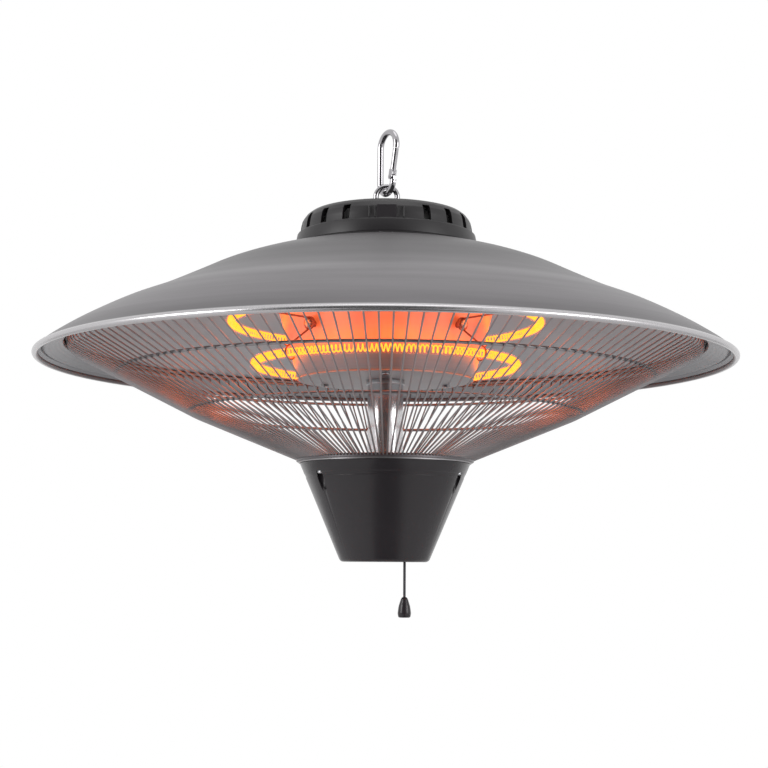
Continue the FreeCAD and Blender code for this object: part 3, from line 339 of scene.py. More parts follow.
def moulded_finish(name, tone, roughness):
    """Satin moulded plastic: a fine spark-eroded grain and faint cloudiness."""
    material, shade = new_finish(name)
    place = place_on(shade)
    grain = noise(shade, place, per_metre=3200.0, detail=2.0)
    clouds = noise(shade, place, per_metre=25.0)
    surface(shade, {
        "Base Color": clouds.mix(tone, scaled(tone, 1.25)),
        "Roughness": roughness + 0.1 * (grain - 0.5) + 0.08 * (clouds - 0.5),
        "Specular IOR Level": 0.35,
        "Normal": bump(shade, grain, strength=0.12),
    })
    return material


def turn_about_axis(piece, angle):
    """Turn a piece about the upright axis, towards the right of the front."""
    piece.data.transform(Matrix.Rotation(math.radians(angle), 4, "Z"))


def block(size, middle, edge):
    """Box with its edges bevelled, placed in millimetres from the axis and the cup's floor."""
    deselect()
    x, y, height = middle
    bpy.ops.mesh.primitive_cube_add(size=1.0)
    bpy.ops.object.mode_set(mode="EDIT")
    bpy.ops.mesh.select_all(action="SELECT")
    bpy.ops.transform.resize(value=[side * MM for side in size])
    bpy.ops.mesh.bevel(offset=edge * MM, segments=3, affect="EDGES")
    bpy.ops.mesh.select_all(action="SELECT")
    bpy.ops.transform.translate(value=(x * MM, y * MM, level(height)))
    bpy.ops.object.mode_set(mode="OBJECT")
    return bpy.context.object


def post(radius, low, high, x, y):
    """Upright round bar, placed in millimetres from the axis and the cup's floor."""
    deselect()
    bpy.ops.mesh.primitive_cylinder_add(vertices=64, radius=radius * MM, depth=(high - low) * MM)
    middle = (x * MM, y * MM, level((low + high) / 2))
    bpy.context.object.data.transform(Matrix.Translation(middle))
    return bpy.context.object


def carve(piece, cutter, operation="DIFFERENCE"):
    """Cut one piece out of another, or keep what both share, and remove the cutter."""
    cut = piece.modifiers.new("cut", "BOOLEAN")
    cut.operation = operation
    cut.solver = "EXACT"
    cut.object = cutter
    deselect()
    bpy.context.view_layer.objects.active = piece
    piece.select_set(True)
    bpy.ops.object.modifier_apply(modifier=cut.name)
    bpy.data.objects.remove(cutter)
    bpy.ops.object.shade_smooth_by_angle(angle=SMOOTH_ANGLE)


black_plastic = moulded_finish("black_plastic", colour(32, 30, 32), roughness=0.4)
cap = turned(softened((
    (CAP_FOOT_R, CAP_FOOT_H), (CAP_BASE_R, CAP_BASE_H), (CAP_LEDGE_R, CAP_LEDGE_H),
    (CAP_WALL_R, CAP_LEDGE_H), *CAP_SHOULDER, (CAP_BORE_R, CAP_TOP_H), (CAP_BORE_R, CAP_CEILING_H),
    (CAP_CEILING_R, CAP_CEILING_H), (CAP_INNER_TOP_R, CAP_SHOULDER_H),
    (CAP_INNER_FOOT_R, CAP_FOOT_H),
), CAP_EDGE), steps=240)
slots = []
for step in range(SLOT_COUNT):
    angle = SLOT_PITCH * (step + 0.5)
    if abs(math.cos(math.radians(angle))) < math.cos(math.radians(SLOT_PITCH)):
        slot = block(SLOT_SIZE, SLOT_MIDDLE, CUT_EDGE)
        turn_about_axis(slot, angle)
        slots.append(slot)
slots.append(post(GLAND_HOLE_R, GLAND_HOLE_FOOT_H, GLAND_HOLE_TOP_H, 0, GLAND_Y))
carve(cap, join(slots))
ribs = [cap]
for angle in RIB_ANGLES:
    rib = block(RIB_SIZE, RIB_MIDDLE, CUT_EDGE)
    turn_about_axis(rib, angle)
    ribs.append(rib)
fit(join(ribs), "cap_cover", black_plastic, "heater", "black_plastic", "top_cap")
panel_plastic = moulded_finish("panel_plastic", colour(40, 37, 40), roughness=0.42)
panel = block(PANEL_SIZE, PANEL_MIDDLE, PANEL_EDGE)
fit(panel, "cap_front_panel", panel_plastic, "heater", "black_plastic")
coat(black_plastic, "cable_gland", "cable_gland_nut")
rubber = moulded_finish("black_rubber", colour(38, 37, 38), roughness=0.7)
coat(rubber, "cap_gasket", "lead_grommet")

# Wiring under the cap
# A screw terminal strip, the leads that rise from the rings through a rubber grommet, and the
# cable to the switch. The long nut and washer under the eye clamp the canopy's crown.
zinc = plated_finish("zinc_steel", colour(178, 179, 182), roughness=0.3, smudge=0.12)
brass = plated_finish("terminal_brass", colour(205, 176, 110), roughness=0.28)
pale_plastic = moulded_finish("terminal_plastic", colour(222, 220, 212), roughness=0.5)
lead_jacket = moulded_finish("lead_jacket", colour(60, 56, 54), roughness=0.6)
coat(pale_plastic, "terminal_block")
coat(brass, "terminal_screws")
coat(lead_jacket, "wire_loom")
coat(zinc, "cap_screws", "coupling_nut", "crown_washer")

# Canopy
# A wide shade spun from thin steel sheet with a satin metallic grey coat. Its edge is rolled round
# a wire into a bead, where the coat is worn thin to brighter metal and a highlight is painted on.
RIM_R = 300.0
RIM_H = 171.0
BEAD_R = 2.6
BEAD_CENTRE_R = 297.4
BEAD_FIRST = 88.0
BEAD_LAST = -215.0
BEAD_PARTS = 28
# the bead turns to brighter metal from the first radius, fully at the second: worn coat and a
# painted highlight
BEAD_BRIGHT_FROM_R = 295.5
BEAD_BRIGHT_FULL_R = 296.8
CROWN_H = 272.3
CROWN_BORE_R = 4.2
CANOPY_SHEET = 0.9
# painted shade: how much the coat is darkened, by share of the rim radius
CANOPY_PAINTED_SHADE = (
    (0.3, 0.6), (0.44, 0.5), (0.5, 0.4), (0.617, 0.6), (0.73, 0.95), (0.9, 0.98), (0.985, 0.76),
)
CANOPY_STATIONS = (
    (70.0, 272.3), (100.0, 265.6), (125.0, 258.5), (150.0, 249.2), (175.1, 237.0),
    (205.1, 222.7), (235.1, 210.2), (265.1, 194.7), (285.1, 182.4), (297.4, 173.6),
)


def smooth_through(stations, parts=6):
    """Points of a smooth line through stations."""
    spots = [Vector(station) for station in stations]
    spots = [2 * spots[0] - spots[1]] + spots + [2 * spots[-1] - spots[-2]]
    smooth = []
    for before, start, end, after in zip(spots, spots[1:], spots[2:], spots[3:]):
        leave = (end - before) / 2
        reach = (after - start) / 2
        for step in range(parts):
            share = step / parts
            square = share * share
            cube = square * share
            smooth.append(
                (2 * cube - 3 * square + 1) * start + (cube - 2 * square + share) * leave
                + (3 * square - 2 * cube) * end + (cube - square) * reach
            )
    return smooth + [spots[-2]]


def arc_points(centre, radius, first, last, parts):
    """Points of an arc in the plane of radius and height."""
    arc = []
    for step in range(parts + 1):
        turn = math.radians(first + (last - first) * step / parts)
        arc.append(Vector(centre) + radius * Vector((math.cos(turn), math.sin(turn))))
    return arc


def stretched(shade, place, factors):
    return shade.node("VectorMath", {"operation": "MULTIPLY"}, {0: place, 1: factors})


def distance_from_axis(shade, place):
    flat = stretched(shade, place, (1, 1, 0))
    return shade.node("VectorMath", {"operation": "LENGTH"}, {0: flat}, "Value")


def tool_lines(shade, distance, per_metre):
    """Fine lines across one direction, as a lathe or a rolling mill leaves them in sheet."""
    sockets = {"W": distance, "Scale": per_metre, "Detail": 4.0}
    return shade.node("TexNoise", {"noise_dimensions": "1D"}, sockets)


def canopy_finish():
    """Satin coat with faint rings, flakes and smears, and painted shade in bands round the axis."""
    material, shade = new_finish("canopy_coat")
    place = place_on(shade)
    radius = distance_from_axis(shade, place)
    lines = tool_lines(shade, radius, per_metre=900.0)
    broad = tool_lines(shade, radius, per_metre=70.0)
    flakes = noise(shade, place, per_metre=5200.0, detail=1.0)
    smears = noise(shade, stretched(shade, place, (1.0, 1.0, 14.0)), per_metre=9.0)
    cloud = 0.3 * broad + 0.4 * smears + 0.2 * flakes + 0.1 * lines
    coat_and_painted_shade = cloud.between(0.25, 0.75).mix(colour(95, 92, 95), colour(123, 120, 123))
    # painted shade: the coat is darkened in bands round the axis
    stops = [(share, (tone, tone, tone, 1)) for share, tone in CANOPY_PAINTED_SHADE]
    painted_shade = shade.node("ValToRGB", {"stops": stops}, {"Fac": radius / (RIM_R * MM)})
    blend = {"data_type": "RGBA", "blend_type": "MULTIPLY"}
    coat_and_painted_shade = shade.node("Mix", blend, {0: 1.0, 6: coat_and_painted_shade, 7: painted_shade}, 2)
    # brighter, more metallic bead: the coat worn thin, with a painted highlight in its colour
    worn_bead_and_highlight = radius.between(BEAD_BRIGHT_FROM_R * MM, BEAD_BRIGHT_FULL_R * MM)
    surface(shade, {
        "Base Color": worn_bead_and_highlight.mix(coat_and_painted_shade, colour(184, 182, 184)),
        "Metallic": 0.55 + 0.4 * worn_bead_and_highlight,
        "Roughness": 0.4 + 0.1 * (lines - 0.5) + 0.08 * (flakes - 0.5) - 0.13 * worn_bead_and_highlight,
        "Normal": bump(shade, 0.7 * lines + 0.3 * flakes, strength=0.1),
    })
    return material


crown_bore = Vector((CROWN_BORE_R, CROWN_H))
sheet_drop = Vector((0, CANOPY_SHEET))
outer = smooth_through(CANOPY_STATIONS)
inner = [point - sheet_drop for point in reversed(outer[:-2])]
bead_line = arc_points((BEAD_CENTRE_R, RIM_H), BEAD_R, BEAD_FIRST, BEAD_LAST, BEAD_PARTS)
canopy_outline = [crown_bore] + outer + bead_line + inner + [crown_bore - sheet_drop, crown_bore]
canopy = turned(canopy_outline, steps=288)
fit(canopy, "spun_canopy", canopy_finish(), "heater", "canopy_paint", "canopy")

# Reflector
# A dish of bright rolled aluminium under the canopy. It has a hem inside the rim, a light band,
# a groove that takes the guard's top ring, and a flat crown that is screwed to the drum.
HEM = ((295.6, 171.6), (293.4, 175.6), (291.2, 174.6), (289.0, 173.6))
HEM_EDGE = 1.4
LIP_R = 274.0
LIP_H = 180.5
BRIM_FADE = 3.0
GROOVE_H = 186.0
DISH_R = 269.0
DISH_TOP_R = 111.0
DISH_BULGE = 18.0
DISH_PARTS = 16
DRUM_TOP_H = 250.0
REFLECTOR_BORE_R = 88.0
REFLECTOR_SHEET = 0.8


def sheet_roughness(lines, clouds):
    return 0.4 + 0.12 * (lines - 0.5) + 0.12 * (clouds - 0.5)


def reflector_finish():
    """Bright sheet with fine rings round the axis, a few dull clouds and a darker brim."""
    material, shade = new_finish("reflector_sheet")
    place = place_on(shade)
    radius = distance_from_axis(shade, place)
    lines = tool_lines(shade, radius, per_metre=600.0)
    clouds = noise(shade, place, per_metre=18.0)
    sheet = (0.6 * clouds + 0.4 * lines).mix(colour(160, 160, 163), colour(196, 196, 199))
    brim = radius.between((LIP_R - BRIM_FADE) * MM, LIP_R * MM)
    surface(shade, {
        "Base Color": brim.mix(sheet, colour(138, 138, 141)),
        "Metallic": 1.0,
        "Roughness": sheet_roughness(lines, clouds),
        "Normal": bump(shade, lines, strength=0.06),
    })
    return material


dish_foot = Vector((DISH_R, GROOVE_H))
dish_top = Vector((DISH_TOP_R, DRUM_TOP_H))
dish_line = []
for step in range(DISH_PARTS + 1):
    share = step / DISH_PARTS
    bulge = Vector((0, DISH_BULGE * share * (1 - share)))
    dish_line.append(dish_foot.lerp(dish_top, share) + bulge)
brim_line = softened([*HEM, (LIP_R, LIP_H), (LIP_R, GROOVE_H)], HEM_EDGE, closed=False)
reflector_face = brim_line + dish_line + [Vector((REFLECTOR_BORE_R, DRUM_TOP_H))]
reflector_back = [point + Vector((0, REFLECTOR_SHEET)) for point in reversed(reflector_face[1:])]
reflector = turned(reflector_face + reflector_back, steps=240)
fit(reflector, "reflector_dish", reflector_finish(), "heater", "reflector_sheet", "reflector")

# Drum
# A polished steel cone between the rings, rolled from sheet. A plate closes its foot, and it
# carries the reflector, the brackets and the ceramic ends of the rings.
DRUM_FLOOR_H = 157.2
DRUM_FOOT_R = 76.35
DRUM_FOOT_INNER_R = 75.4
DRUM_TOP_R = 103.0
DRUM_TOP_INNER_R = 101.9
DRUM_LIP_R = 54.0
DRUM_FLANGE_R = 90.0
DRUM_SHEET = 0.8
DRUM_EDGE = 0.4
# the rings' glow is painted on the drum from the lower of these heights, fully at the upper
GLOW_PAINT_FROM_H = 173.0
GLOW_PAINT_FULL_H = 181.0


def drum_finish():
    """Polished sheet, the rings' glow painted on above the lower ring as warm colour and emission.
    """
    material, shade = new_finish("polished_steel")
    place = place_on(shade)
    height = shade.node("SeparateXYZ", {}, {"Vector": place}, "Z")
    lines = tool_lines(shade, height, per_metre=350.0)
    clouds = noise(shade, place, per_metre=18.0)
    # zone above the lower ring where the rings' glow is painted on
    glow_zone = height.between(level(GLOW_PAINT_FROM_H), level(GLOW_PAINT_FULL_H))
    streaks = noise(shade, stretched(shade, place, (1.0, 1.0, 0.04)), per_metre=55.0)
    steel = (0.6 * clouds + 0.4 * lines).mix(colour(118, 126, 131), colour(146, 154, 159))
    # warm colour above the lower ring: heat tinted steel and painted glow together
    tinted = (0.6 * streaks + 0.4 * lines).mix(colour(158, 122, 112), colour(190, 150, 138))
    # painted glow: a weak orange emission stands in for the rings' light thrown back by the drum
    glow = streaks.between(0.3, 0.7).mix((0.34, 0.045, 0.016, 1), (0.62, 0.1, 0.03, 1))
    surface(shade, {
        "Base Color": glow_zone.mix(steel, tinted),
        "Metallic": 0.85,
        "Roughness": sheet_roughness(lines, clouds),
        "Emission Color": glow_zone.mix((0.01, 0.001, 0.0005, 1), glow),
        "Emission Strength": 1.0,
        "Normal": bump(shade, lines, strength=0.06),
    })
    return material


drum_steel = drum_finish()
drum_ceiling = DRUM_TOP_H - DRUM_SHEET
drum_floor_top = DRUM_FLOOR_H + DRUM_SHEET
drum_wall = turned(softened((
    (DRUM_LIP_R, DRUM_FLOOR_H), (DRUM_FOOT_R, DRUM_FLOOR_H), (DRUM_TOP_R, DRUM_TOP_H),
    (DRUM_FLANGE_R, DRUM_TOP_H), (DRUM_FLANGE_R, drum_ceiling), (DRUM_TOP_INNER_R, drum_ceiling),
    (DRUM_FOOT_INNER_R, drum_floor_top), (DRUM_LIP_R, drum_floor_top),
), DRUM_EDGE), steps=192)
fit(drum_wall, "drum_wall", drum_steel, "heater", "polished_steel", "drum")
coat(drum_steel, "drum_plate")
coat(zinc, "drum_screws", "bracket_screws")
coat(chrome, "drum_plate_screws")

# Heating rings
# Two quartz tubes bent into open rings, with a coiled resistance wire glowing in each. Their ends
# turn in at the back and sit in ceramic holders in the drum's wall.
QUARTZ_R = 4.6
QUARTZ_BEND_R = 12.0
QUARTZ_LEAD = 4.0
RING_PARTS = 90
BEND_PARTS = 12
COIL_R = 2.9
COIL_WIRE_R = 0.58
COIL_PITCH = 3.7
COIL_PARTS = 10
HEAT_GLOW = (56.0, 7.4, 0.3, 1.0)
UPPER_RING = {"radius": 134.0, "height": 206.0, "end_angle": 160.0, "seat_r": 94.4}
LOWER_RING = {"radius": 113.5, "height": 169.5, "end_angle": 166.0, "seat_r": 83.9}


def polar(radius, angle, height):
    """Point at an angle counted from the front towards the right."""
    turn = math.radians(angle)
    return Vector((radius * MM * math.sin(turn), -radius * MM * math.cos(turn), level(height)))


def ring_line(radius, height, end_angle, seat_r):
    """Middle line of a ring from one ceramic holder round the front to the other."""
    bend_centre_r = radius - QUARTZ_BEND_R
    turn = math.degrees(math.asin(QUARTZ_BEND_R / bend_centre_r))
    straight = math.sqrt(bend_centre_r ** 2 - QUARTZ_BEND_R ** 2)
    sweep = end_angle - turn
    half = [polar(radius, sweep * step / RING_PARTS, height) for step in range(RING_PARTS)]
    centre = polar(bend_centre_r, sweep, height)
    start = polar(radius, sweep, height) - centre
    for step in range(BEND_PARTS + 1):
        bend = math.radians((90 + turn) * step / BEND_PARTS)
        half.append(centre + Matrix.Rotation(bend, 3, "Z") @ start)
    half.append(polar(straight - QUARTZ_LEAD, end_angle, height))
    half.append(polar(seat_r, end_angle, height))
    mirrored = [Vector((-point.x, point.y, point.z)) for point in reversed(half[1:])]
    return mirrored + half


def coil_line(line):
    """Points of a coil wound about a level line."""
    points = []
    up = Vector((0, 0, 1))
    travelled = 0.0
    step_length = COIL_PITCH * MM / COIL_PARTS
    count = 0
    for start, end in zip(line, line[1:]):
        run = end - start
        ahead = run.normalized()
        side = up.cross(ahead)
        while count * step_length <= travelled + run.length:
            spot = start + ahead * (count * step_length - travelled)
            turn = 2 * math.pi * count / COIL_PARTS
            points.append(spot + (side * math.cos(turn) + up * math.sin(turn)) * COIL_R * MM)
            count += 1
        travelled += run.length
    return points


def filament_finish():
    """Resistance wire at orange heat, a little uneven along its length."""
    material, shade = new_finish("glowing_wire")
    heat = noise(shade, place_on(shade), per_metre=90.0)
    surface(shade, {
        "Base Color": colour(120, 60, 30),
        "Roughness": 0.5 + 0.2 * heat,
        "Emission Color": heat.mix((1.0, 0.34, 0.015, 1), (1.0, 0.5, 0.035, 1)),
        "Emission Strength": 1.8,
    })
    return material


def quartz_finish():
    """Clear hot tube: it lights the drum and the reflector strongly but looks faint itself."""
    material, shade = new_finish("hot_quartz")
    heat = noise(shade, place_on(shade), per_metre=40.0)
    seen = shade.node("LightPath", {}, {}, "Is Camera Ray")
    faint = heat.mix((0.9, 0.14, 0.03, 1), (1.0, 0.2, 0.05, 1))
    surface(shade, {
        "Base Color": colour(110, 62, 50),
        "Roughness": 0.06 + 0.06 * heat,
        "Alpha": 0.06 + 0.06 * heat,
        "Emission Color": seen.mix(HEAT_GLOW, faint),
        "Emission Strength": 1.0,
    })
    return material


hot_quartz = quartz_finish()
glowing_wire = filament_finish()
for ring, sizes in (("upper", UPPER_RING), ("lower", LOWER_RING)):
    line = ring_line(**sizes)
    tube = bent_wire(line, QUARTZ_R, sides=6)
    fit(tube, ring + "_quartz_tube", hot_quartz, "heater", "quartz", ring + "_quartz_ring")
    coil = bent_wire(coil_line(line), COIL_WIRE_R, sides=1)
    fit(coil, ring + "_glowing_coil", glowing_wire, "heater", "filament", ring + "_filament")


def ceramic_finish():
    """Pale unglazed ceramic with fine specks."""
    material, shade = new_finish("steatite")
    specks = noise(shade, place_on(shade), per_metre=700.0)
    surface(shade, {
        "Base Color": specks.mix(colour(214, 208, 196), colour(236, 232, 224)),
        "Roughness": 0.62 + 0.2 * (specks - 0.5),
        "Normal": bump(shade, specks, strength=0.15),
    })
    return material


coat(ceramic_finish(), "ceramic_holders")

# Ring brackets
# Spring wire arms that hook round both tubes, welded to a small pad that a screw holds on the
# drum. The heat has tinted them reddish brown.


def heat_tint_finish():
    """Steel wire with a thin brown scale."""
    material, shade = new_finish("heat_tinted_wire")
    scale = noise(shade, place_on(shade), per_metre=260.0)
    surface(shade, {
        "Base Color": scale.mix(colour(122, 84, 78), colour(158, 116, 108)),
        "Metallic": 0.7,
        "Roughness": 0.42 + 0.2 * (scale - 0.5),
        "Normal": bump(shade, scale, strength=0.1),
    })
    return material


coat(heat_tint_finish(), "ring_brackets")

# Guard
# A plated wire basket: thin radial wires from a flat band at the cup up into the reflector's
# groove, spot welded to three rings on their inner side so that no hand reaches the tubes.
GUARD_WIRES = 156
GUARD_WIRE_R = 0.75
GUARD_RING_R = 1.3
GUARD_SECTION = ((75.3, 86.9), (165.0, 123.4), (270.5, 176.6), (271.5, 183.3))
GUARD_BEND = 3.0
BAND_BORE_R = 61.4
BAND_FOOT_R = 73.0
BAND_R = 76.4
BAND_H = 85.2
BAND_FLAT_H = 86.4
BAND_TOP_H = 88.6
BAND_EDGE = 0.5
guard_plate = {"roughness": 0.36, "smudge": 0.12, "metal": 0.75}
guard_steel = plated_finish("guard_wire", colour(148, 145, 147), **guard_plate)
guard_line = softened(GUARD_SECTION, GUARD_BEND, parts=3, closed=False)
first_wire = 180.0 / GUARD_WIRES
wire_line = [polar(radius, first_wire, height) for radius, height in guard_line]
radial = bent_wire(wire_line, GUARD_WIRE_R, sides=1)
bpy.ops.object.mode_set(mode="EDIT")
bpy.ops.mesh.select_all(action="SELECT")
bpy.ops.mesh.spin(
    steps=GUARD_WIRES - 1, dupli=True, angle=2 * math.pi * (GUARD_WIRES - 1) / GUARD_WIRES,
    center=(0, 0, 0), axis=(0, 0, 1),
)
bpy.ops.object.mode_set(mode="OBJECT")
fit(radial, "guard_radials", guard_steel, "heater", "guard_steel", "guard_wires")
for ring in ("guard_top_ring", "guard_upper_ring", "guard_lower_ring"):
    low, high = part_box(ring)
    height = ((low.z + high.z) / 2 - CUP_FLOOR_Z) / MM
    radius = high.x / MM - GUARD_RING_R
    hoop = turned(arc_points((radius, height), GUARD_RING_R, first=0, last=360, parts=12), 240)
    fit(hoop, ring.replace("ring", "hoop"), guard_steel, "heater", "guard_steel", ring)
band = turned(softened((
    (BAND_BORE_R, BAND_H), (BAND_R, BAND_H), (BAND_R, BAND_TOP_H), (BAND_FOOT_R, BAND_TOP_H),
    (BAND_FOOT_R, BAND_FLAT_H), (BAND_BORE_R, BAND_FLAT_H),
), BAND_EDGE), steps=192)
band_steel = plated_finish("band_steel", colour(100, 97, 100), **guard_plate)
fit(band, "guard_foot_band", band_steel, "heater", "guard_steel", "guard_band")
coat(guard_steel, "hub_plate")

# Column
# A polished tube between the switch housing and the drum, with a collar at its top. A threaded rod
# runs up inside it and draws cup plate, column, drum and canopy together.
COLUMN_R = 15.5
COLUMN_BORE_R = 13.9
COLUMN_FOOT_H = 85.2
COLUMN_TOP_H = 156.0
COLUMN_EDGE = 0.3
COLLAR_BORE_R = 15.55
COLLAR_FOOT_R = 16.3
COLLAR_FOOT_H = 152.0
COLLAR_R = 16.6
COLLAR_WIDE_H = 152.6
COLLAR_EDGE = 0.4
column_chrome = plated_finish("column_chrome", colour(222, 222, 224), roughness=0.1, smudge=0.05)
column = turned(softened((
    (COLUMN_BORE_R, COLUMN_FOOT_H), (COLUMN_R, COLUMN_FOOT_H), (COLUMN_R, COLUMN_TOP_H),
    (COLUMN_BORE_R, COLUMN_TOP_H),
), COLUMN_EDGE), steps=96)
fit(column, "column_pipe", column_chrome, "heater", "polished_steel", "column_tube")
collar = turned(softened((
    (COLLAR_BORE_R, COLLAR_FOOT_H), (COLLAR_FOOT_R, COLLAR_FOOT_H), (COLLAR_R, COLLAR_WIDE_H),
    (COLLAR_R, COLUMN_TOP_H), (COLLAR_BORE_R, COLUMN_TOP_H),
), COLLAR_EDGE), steps=96)
fit(collar, "column_ring", zinc, "heater", "polished_steel", "column_collar")
coat(zinc, "tie_rod", "tie_rod_sleeve", "tie_rod_nut", "tie_rod_washer")

# Switch cup
# A tapered black plastic housing for the pull switch. Three screws stand in upright grooves under
# its rim, and a shallow line runs round it there.
CUP_FOOT_R = 37.8
CUP_RIM_R = 73.4
CUP_H = 84.0
CUP_FLOOR = 2.2
CUP_WALL = 2.4
CUP_EDGE = 3.0
LINE_DEPTH = 0.25
LINE_HEIGHTS = (71.3, 71.6, 74.4, 74.7)
LINE_FOOT_H = 71.5
GROOVE_R = 4.4
GROOVE_FOOT_H = 45.0
GROOVE_TOP_H = 75.4
BOSS_R = 7.0
BOSS_FOOT_H = 60.0
BOSS_TOP_H = 83.8
BOSS_SINK = 1.0
SCREW_PITCH_R = 66.2
CUP_SCREW_ANGLES = (-53.0, 67.0, 187.0)
CORD_X = 16.9
CORD_Y = -22.0
GROMMET_R = 4.0
CUT_SPARE = 2.0


def cup_radius(height):
    return CUP_FOOT_R + (CUP_RIM_R - CUP_FOOT_R) * height / CUP_H


def at_cup_screws(radius, low, high):
    """Three upright bars on the cup's screw circle, as one."""
    bars = []
    for angle in CUP_SCREW_ANGLES:
        bar = post(radius, low, high, 0, -SCREW_PITCH_R)
        turn_about_axis(bar, angle)
        bars.append(bar)
    return join(bars)


line_low, line_in, line_out, line_high = LINE_HEIGHTS
cup = turned(softened((
    (0, 0), (CUP_FOOT_R, 0), (cup_radius(line_low), line_low),
    (cup_radius(LINE_FOOT_H) - LINE_DEPTH, line_in), (cup_radius(line_out) - LINE_DEPTH, line_out),
    (cup_radius(line_high), line_high), (CUP_RIM_R, CUP_H), (CUP_RIM_R - CUP_WALL, CUP_H),
    (cup_radius(CUP_FLOOR) - CUP_WALL, CUP_FLOOR), (0, CUP_FLOOR),
), CUP_EDGE, parts=5, closed=False), steps=240)
bosses = at_cup_screws(BOSS_R, BOSS_FOOT_H, BOSS_TOP_H)
inside = turned((
    (0, BOSS_SINK), (cup_radius(BOSS_SINK) - BOSS_SINK, BOSS_SINK), (CUP_RIM_R - BOSS_SINK, CUP_H),
    (0, CUP_H),
), steps=240)
carve(bosses, inside, "INTERSECT")
carve(bosses, at_cup_screws(GROOVE_R, 0, GROOVE_TOP_H))
carve(cup, at_cup_screws(GROOVE_R, GROOVE_FOOT_H, GROOVE_TOP_H))
carve(cup, post(GROMMET_R, -CUT_SPARE, CUP_FLOOR + CUT_SPARE, CORD_X, CORD_Y))
cup_plastic = moulded_finish("cup_plastic", colour(38, 35, 38), roughness=0.25)
fit(join([cup, bosses]), "cup_shell", cup_plastic, "heater", "black_plastic", "switch_cup")
coat(zinc, "cup_screws", "switch_screws", "switch_lever_pin")
coat(black_plastic, "switch_body", "switch_lever")
coat(rubber, "cord_grommet")

# Pull cord and knob
# A thin braided cord from the switch's lever down through a rubber grommet in the cup's floor,
# held above by a crimped ball and ended below in a moulded bell-shaped knob.
CORD_R = 1.1
CORD_TOP_H = 63.4
CORD_END_H = -38.2
CORD_ROUTE = (CORD_TOP_H, 30.0, 0.0, -20.0, CORD_END_H)
KNOB_R = 5.7
KNOB_TOP_H = -29.2
KNOB_FOOT_H = -46.2
KNOB_SIDE = ((KNOB_R - 0.7, KNOB_FOOT_H), (KNOB_R, -42.8), (KNOB_R - 0.8, -36.9), (2.9, -30.6))
KNOB_NECK_R = 1.9
KNOB_BORE_R = 1.15
KNOB_EDGE = 1.3


def braid_finish():
    """Dark braid: slanting strands and a little fuzz."""
    material, shade = new_finish("braided_cord")
    place = place_on(shade)
    plait = shade.node("TexWave", {"wave_type": "BANDS", "bands_direction": "DIAGONAL"}, {
        "Vector": place, "Scale": 420.0, "Distortion": 3.0, "Detail": 2.0,
    })
    fuzz = noise(shade, place, per_metre=3000.0)
    surface(shade, {
        "Base Color": plait.mix(colour(34, 33, 36), colour(74, 72, 76)),
        "Roughness": 0.75 + 0.2 * (fuzz - 0.5),
        "Normal": bump(shade, 0.7 * plait + 0.3 * fuzz, strength=0.5),
    })
    return material


cord_points = [(CORD_X * MM, CORD_Y * MM, level(height)) for height in CORD_ROUTE]
cord = round_curve("NURBS", cord_points, CORD_R, sides=4)
cord.data.splines[0].order_u = 3
cord.data.splines[0].use_endpoint_u = True
fit(cord, "pull_cord_braid", braid_finish(), "pull", "cord", "pull_cord")
knob = turned(softened((
    (0, KNOB_FOOT_H), *KNOB_SIDE, (KNOB_NECK_R, KNOB_TOP_H), (KNOB_BORE_R, KNOB_TOP_H),
    (KNOB_BORE_R, CORD_END_H), (0, CORD_END_H),
), KNOB_EDGE, parts=5, closed=False), steps=64)
knob.data.transform(Matrix.Translation((CORD_X * MM, CORD_Y * MM, 0)))
fit(knob, "pull_bell", cup_plastic, "pull", "black_plastic", "pull_knob")
coat(zinc, "cord_ferrule")
level(CORD_TOP_H)

# Studio
# A pale floor below the hanging heater, a white surround and soft boxes left, right and above. Two
# dark cards, one behind the camera and one on the floor, only show in shiny surfaces.
FLOOR_Z = CUP_FLOOR_Z - 0.55
FLOOR_R = 2.4
LOW_CARD_LIFT = 0.02
HEART_H = 180.0


def area_light(name, place, target, size, watts):
    light = bpy.data.lights.new(name, "AREA")
    light.shape = "DISK"
    light.size = size
    light.energy = watts
    lamp = bpy.data.objects.new(name, light)
    bpy.context.collection.objects.link(lamp)
    lamp.location = place
    lamp.rotation_euler = (Vector(target) - Vector(place)).to_track_quat("-Z", "Y").to_euler()


def dull_finish(name, dark, pale, per_metre, roughness):
    """Plain grey with faint specks."""
    material, shade = new_finish(name)
    specks = noise(shade, place_on(shade), per_metre)
    tone = specks.mix((dark, dark, dark, 1), (pale, pale, pale, 1))
    surface(shade, {"Base Color": tone, "Roughness": roughness})
    return material


def reflection_card(name, width, depth, upright, place):
    """Dark card that neither camera nor soft light meets, only reflections."""
    deselect()
    bpy.ops.mesh.primitive_plane_add(size=1.0)
    bpy.ops.object.mode_set(mode="EDIT")
    bpy.ops.mesh.select_all(action="SELECT")
    bpy.ops.transform.resize(value=(width, depth, 1.0))
    if upright:
        quarter = math.radians(90)
        bpy.ops.transform.rotate(value=quarter, orient_axis="X", center_override=(0, 0, 0))
    bpy.ops.transform.translate(value=place)
    bpy.ops.object.mode_set(mode="OBJECT")
    card = bpy.context.object
    card.name = name
    card.data.materials.append(card_coat)
    card.visible_camera = False
    card.visible_diffuse = False
    card.visible_shadow = False
    card.visible_transmission = False


heart = (0, 0, level(HEART_H))
area_light("left_soft_box", (-2.1, -1.2, 0.5), heart, size=1.3, watts=29.0)
area_light("right_soft_box", (2.0, -1.3, 0.3), heart, size=1.3, watts=20.0)
area_light("top_soft_box", (0.2, -0.3, 1.9), heart, size=1.6, watts=8.0)

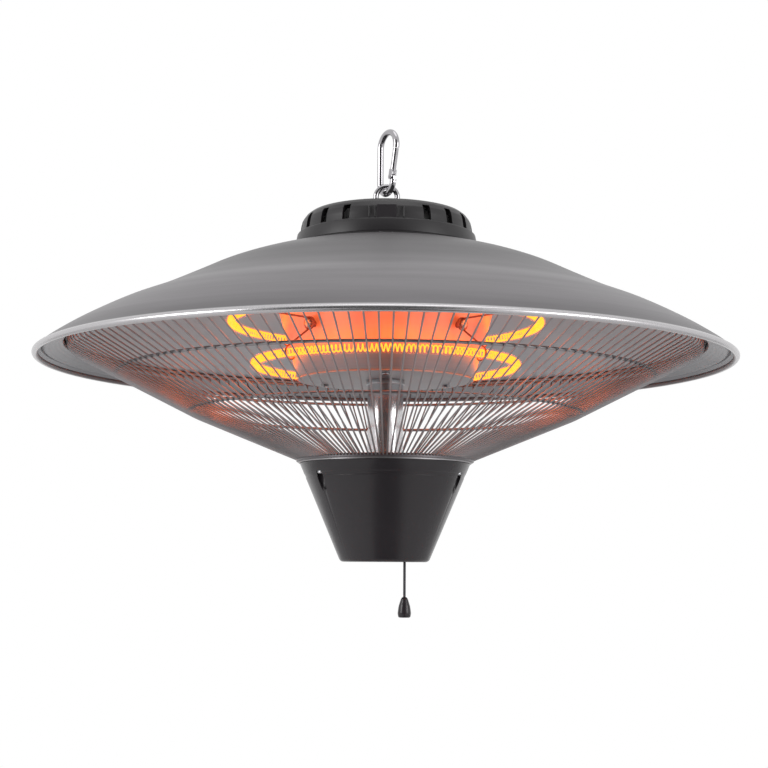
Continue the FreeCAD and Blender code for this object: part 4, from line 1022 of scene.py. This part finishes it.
world = bpy.data.worlds.new("white_surround")
bpy.context.scene.world = world
world.use_nodes = True
world.node_tree.nodes.clear()
sky = Shade(world.node_tree)
seen = sky.node("LightPath", {}, {}, "Is Camera Ray")
for ray in ("Is Glossy Ray", "Is Transmission Ray"):
    seen = seen + sky.node("LightPath", {}, {}, ray)
brightness = 0.5 + 0.5 * seen.between(0, 1)
backdrop = sky.node("Background", {}, {"Color": (1, 1, 1, 1), "Strength": brightness})
sky.node("OutputWorld", {}, {"Surface": backdrop})

card_coat = dull_finish("grey_card", dark=0.05, pale=0.07, per_metre=30.0, roughness=0.9)
reflection_card("front_card", width=2.7, depth=3.0, upright=True, place=(-0.5, -2.0, 0))
low_card_place = (0.06, -1.05, FLOOR_Z + LOW_CARD_LIFT)
reflection_card("low_card", width=0.62, depth=1.5, upright=False, place=low_card_place)

deselect()
bpy.ops.mesh.primitive_circle_add(
    vertices=96, radius=FLOOR_R, fill_type="NGON", location=(0, 0, FLOOR_Z),
)
floor = bpy.context.object
floor.name = "studio_floor"
floor_coat = dull_finish("pale_floor", dark=0.86, pale=0.9, per_metre=120.0, roughness=0.8)
floor.data.materials.append(floor_coat)

# Camera
# It stands level with the cup's floor, a little over four rim radii in front of the heater, and
# looks up at it with a slight roll.
VIEW_SIDE = -0.0013
VIEW_DISTANCE = 1.3269
VIEW_PITCH = 6.59
VIEW_ROLL = 0.35
VIEW_LENS = 72.22
VIEW_SENSOR = 36.0
camera_data = bpy.data.cameras.new("view")
camera_data.sensor_width = VIEW_SENSOR
camera_data.lens = VIEW_LENS
camera = bpy.data.objects.new("view", camera_data)
bpy.context.collection.objects.link(camera)
camera.location = (VIEW_SIDE, -VIEW_DISTANCE, CUP_FLOOR_Z)
facing = Matrix.Rotation(math.radians(90 + VIEW_PITCH), 4, "X")
camera.rotation_euler = (facing @ Matrix.Rotation(math.radians(VIEW_ROLL), 4, "Z")).to_euler()
bpy.context.scene.camera = camera
bpy.context.scene.view_settings.view_transform = "Standard"
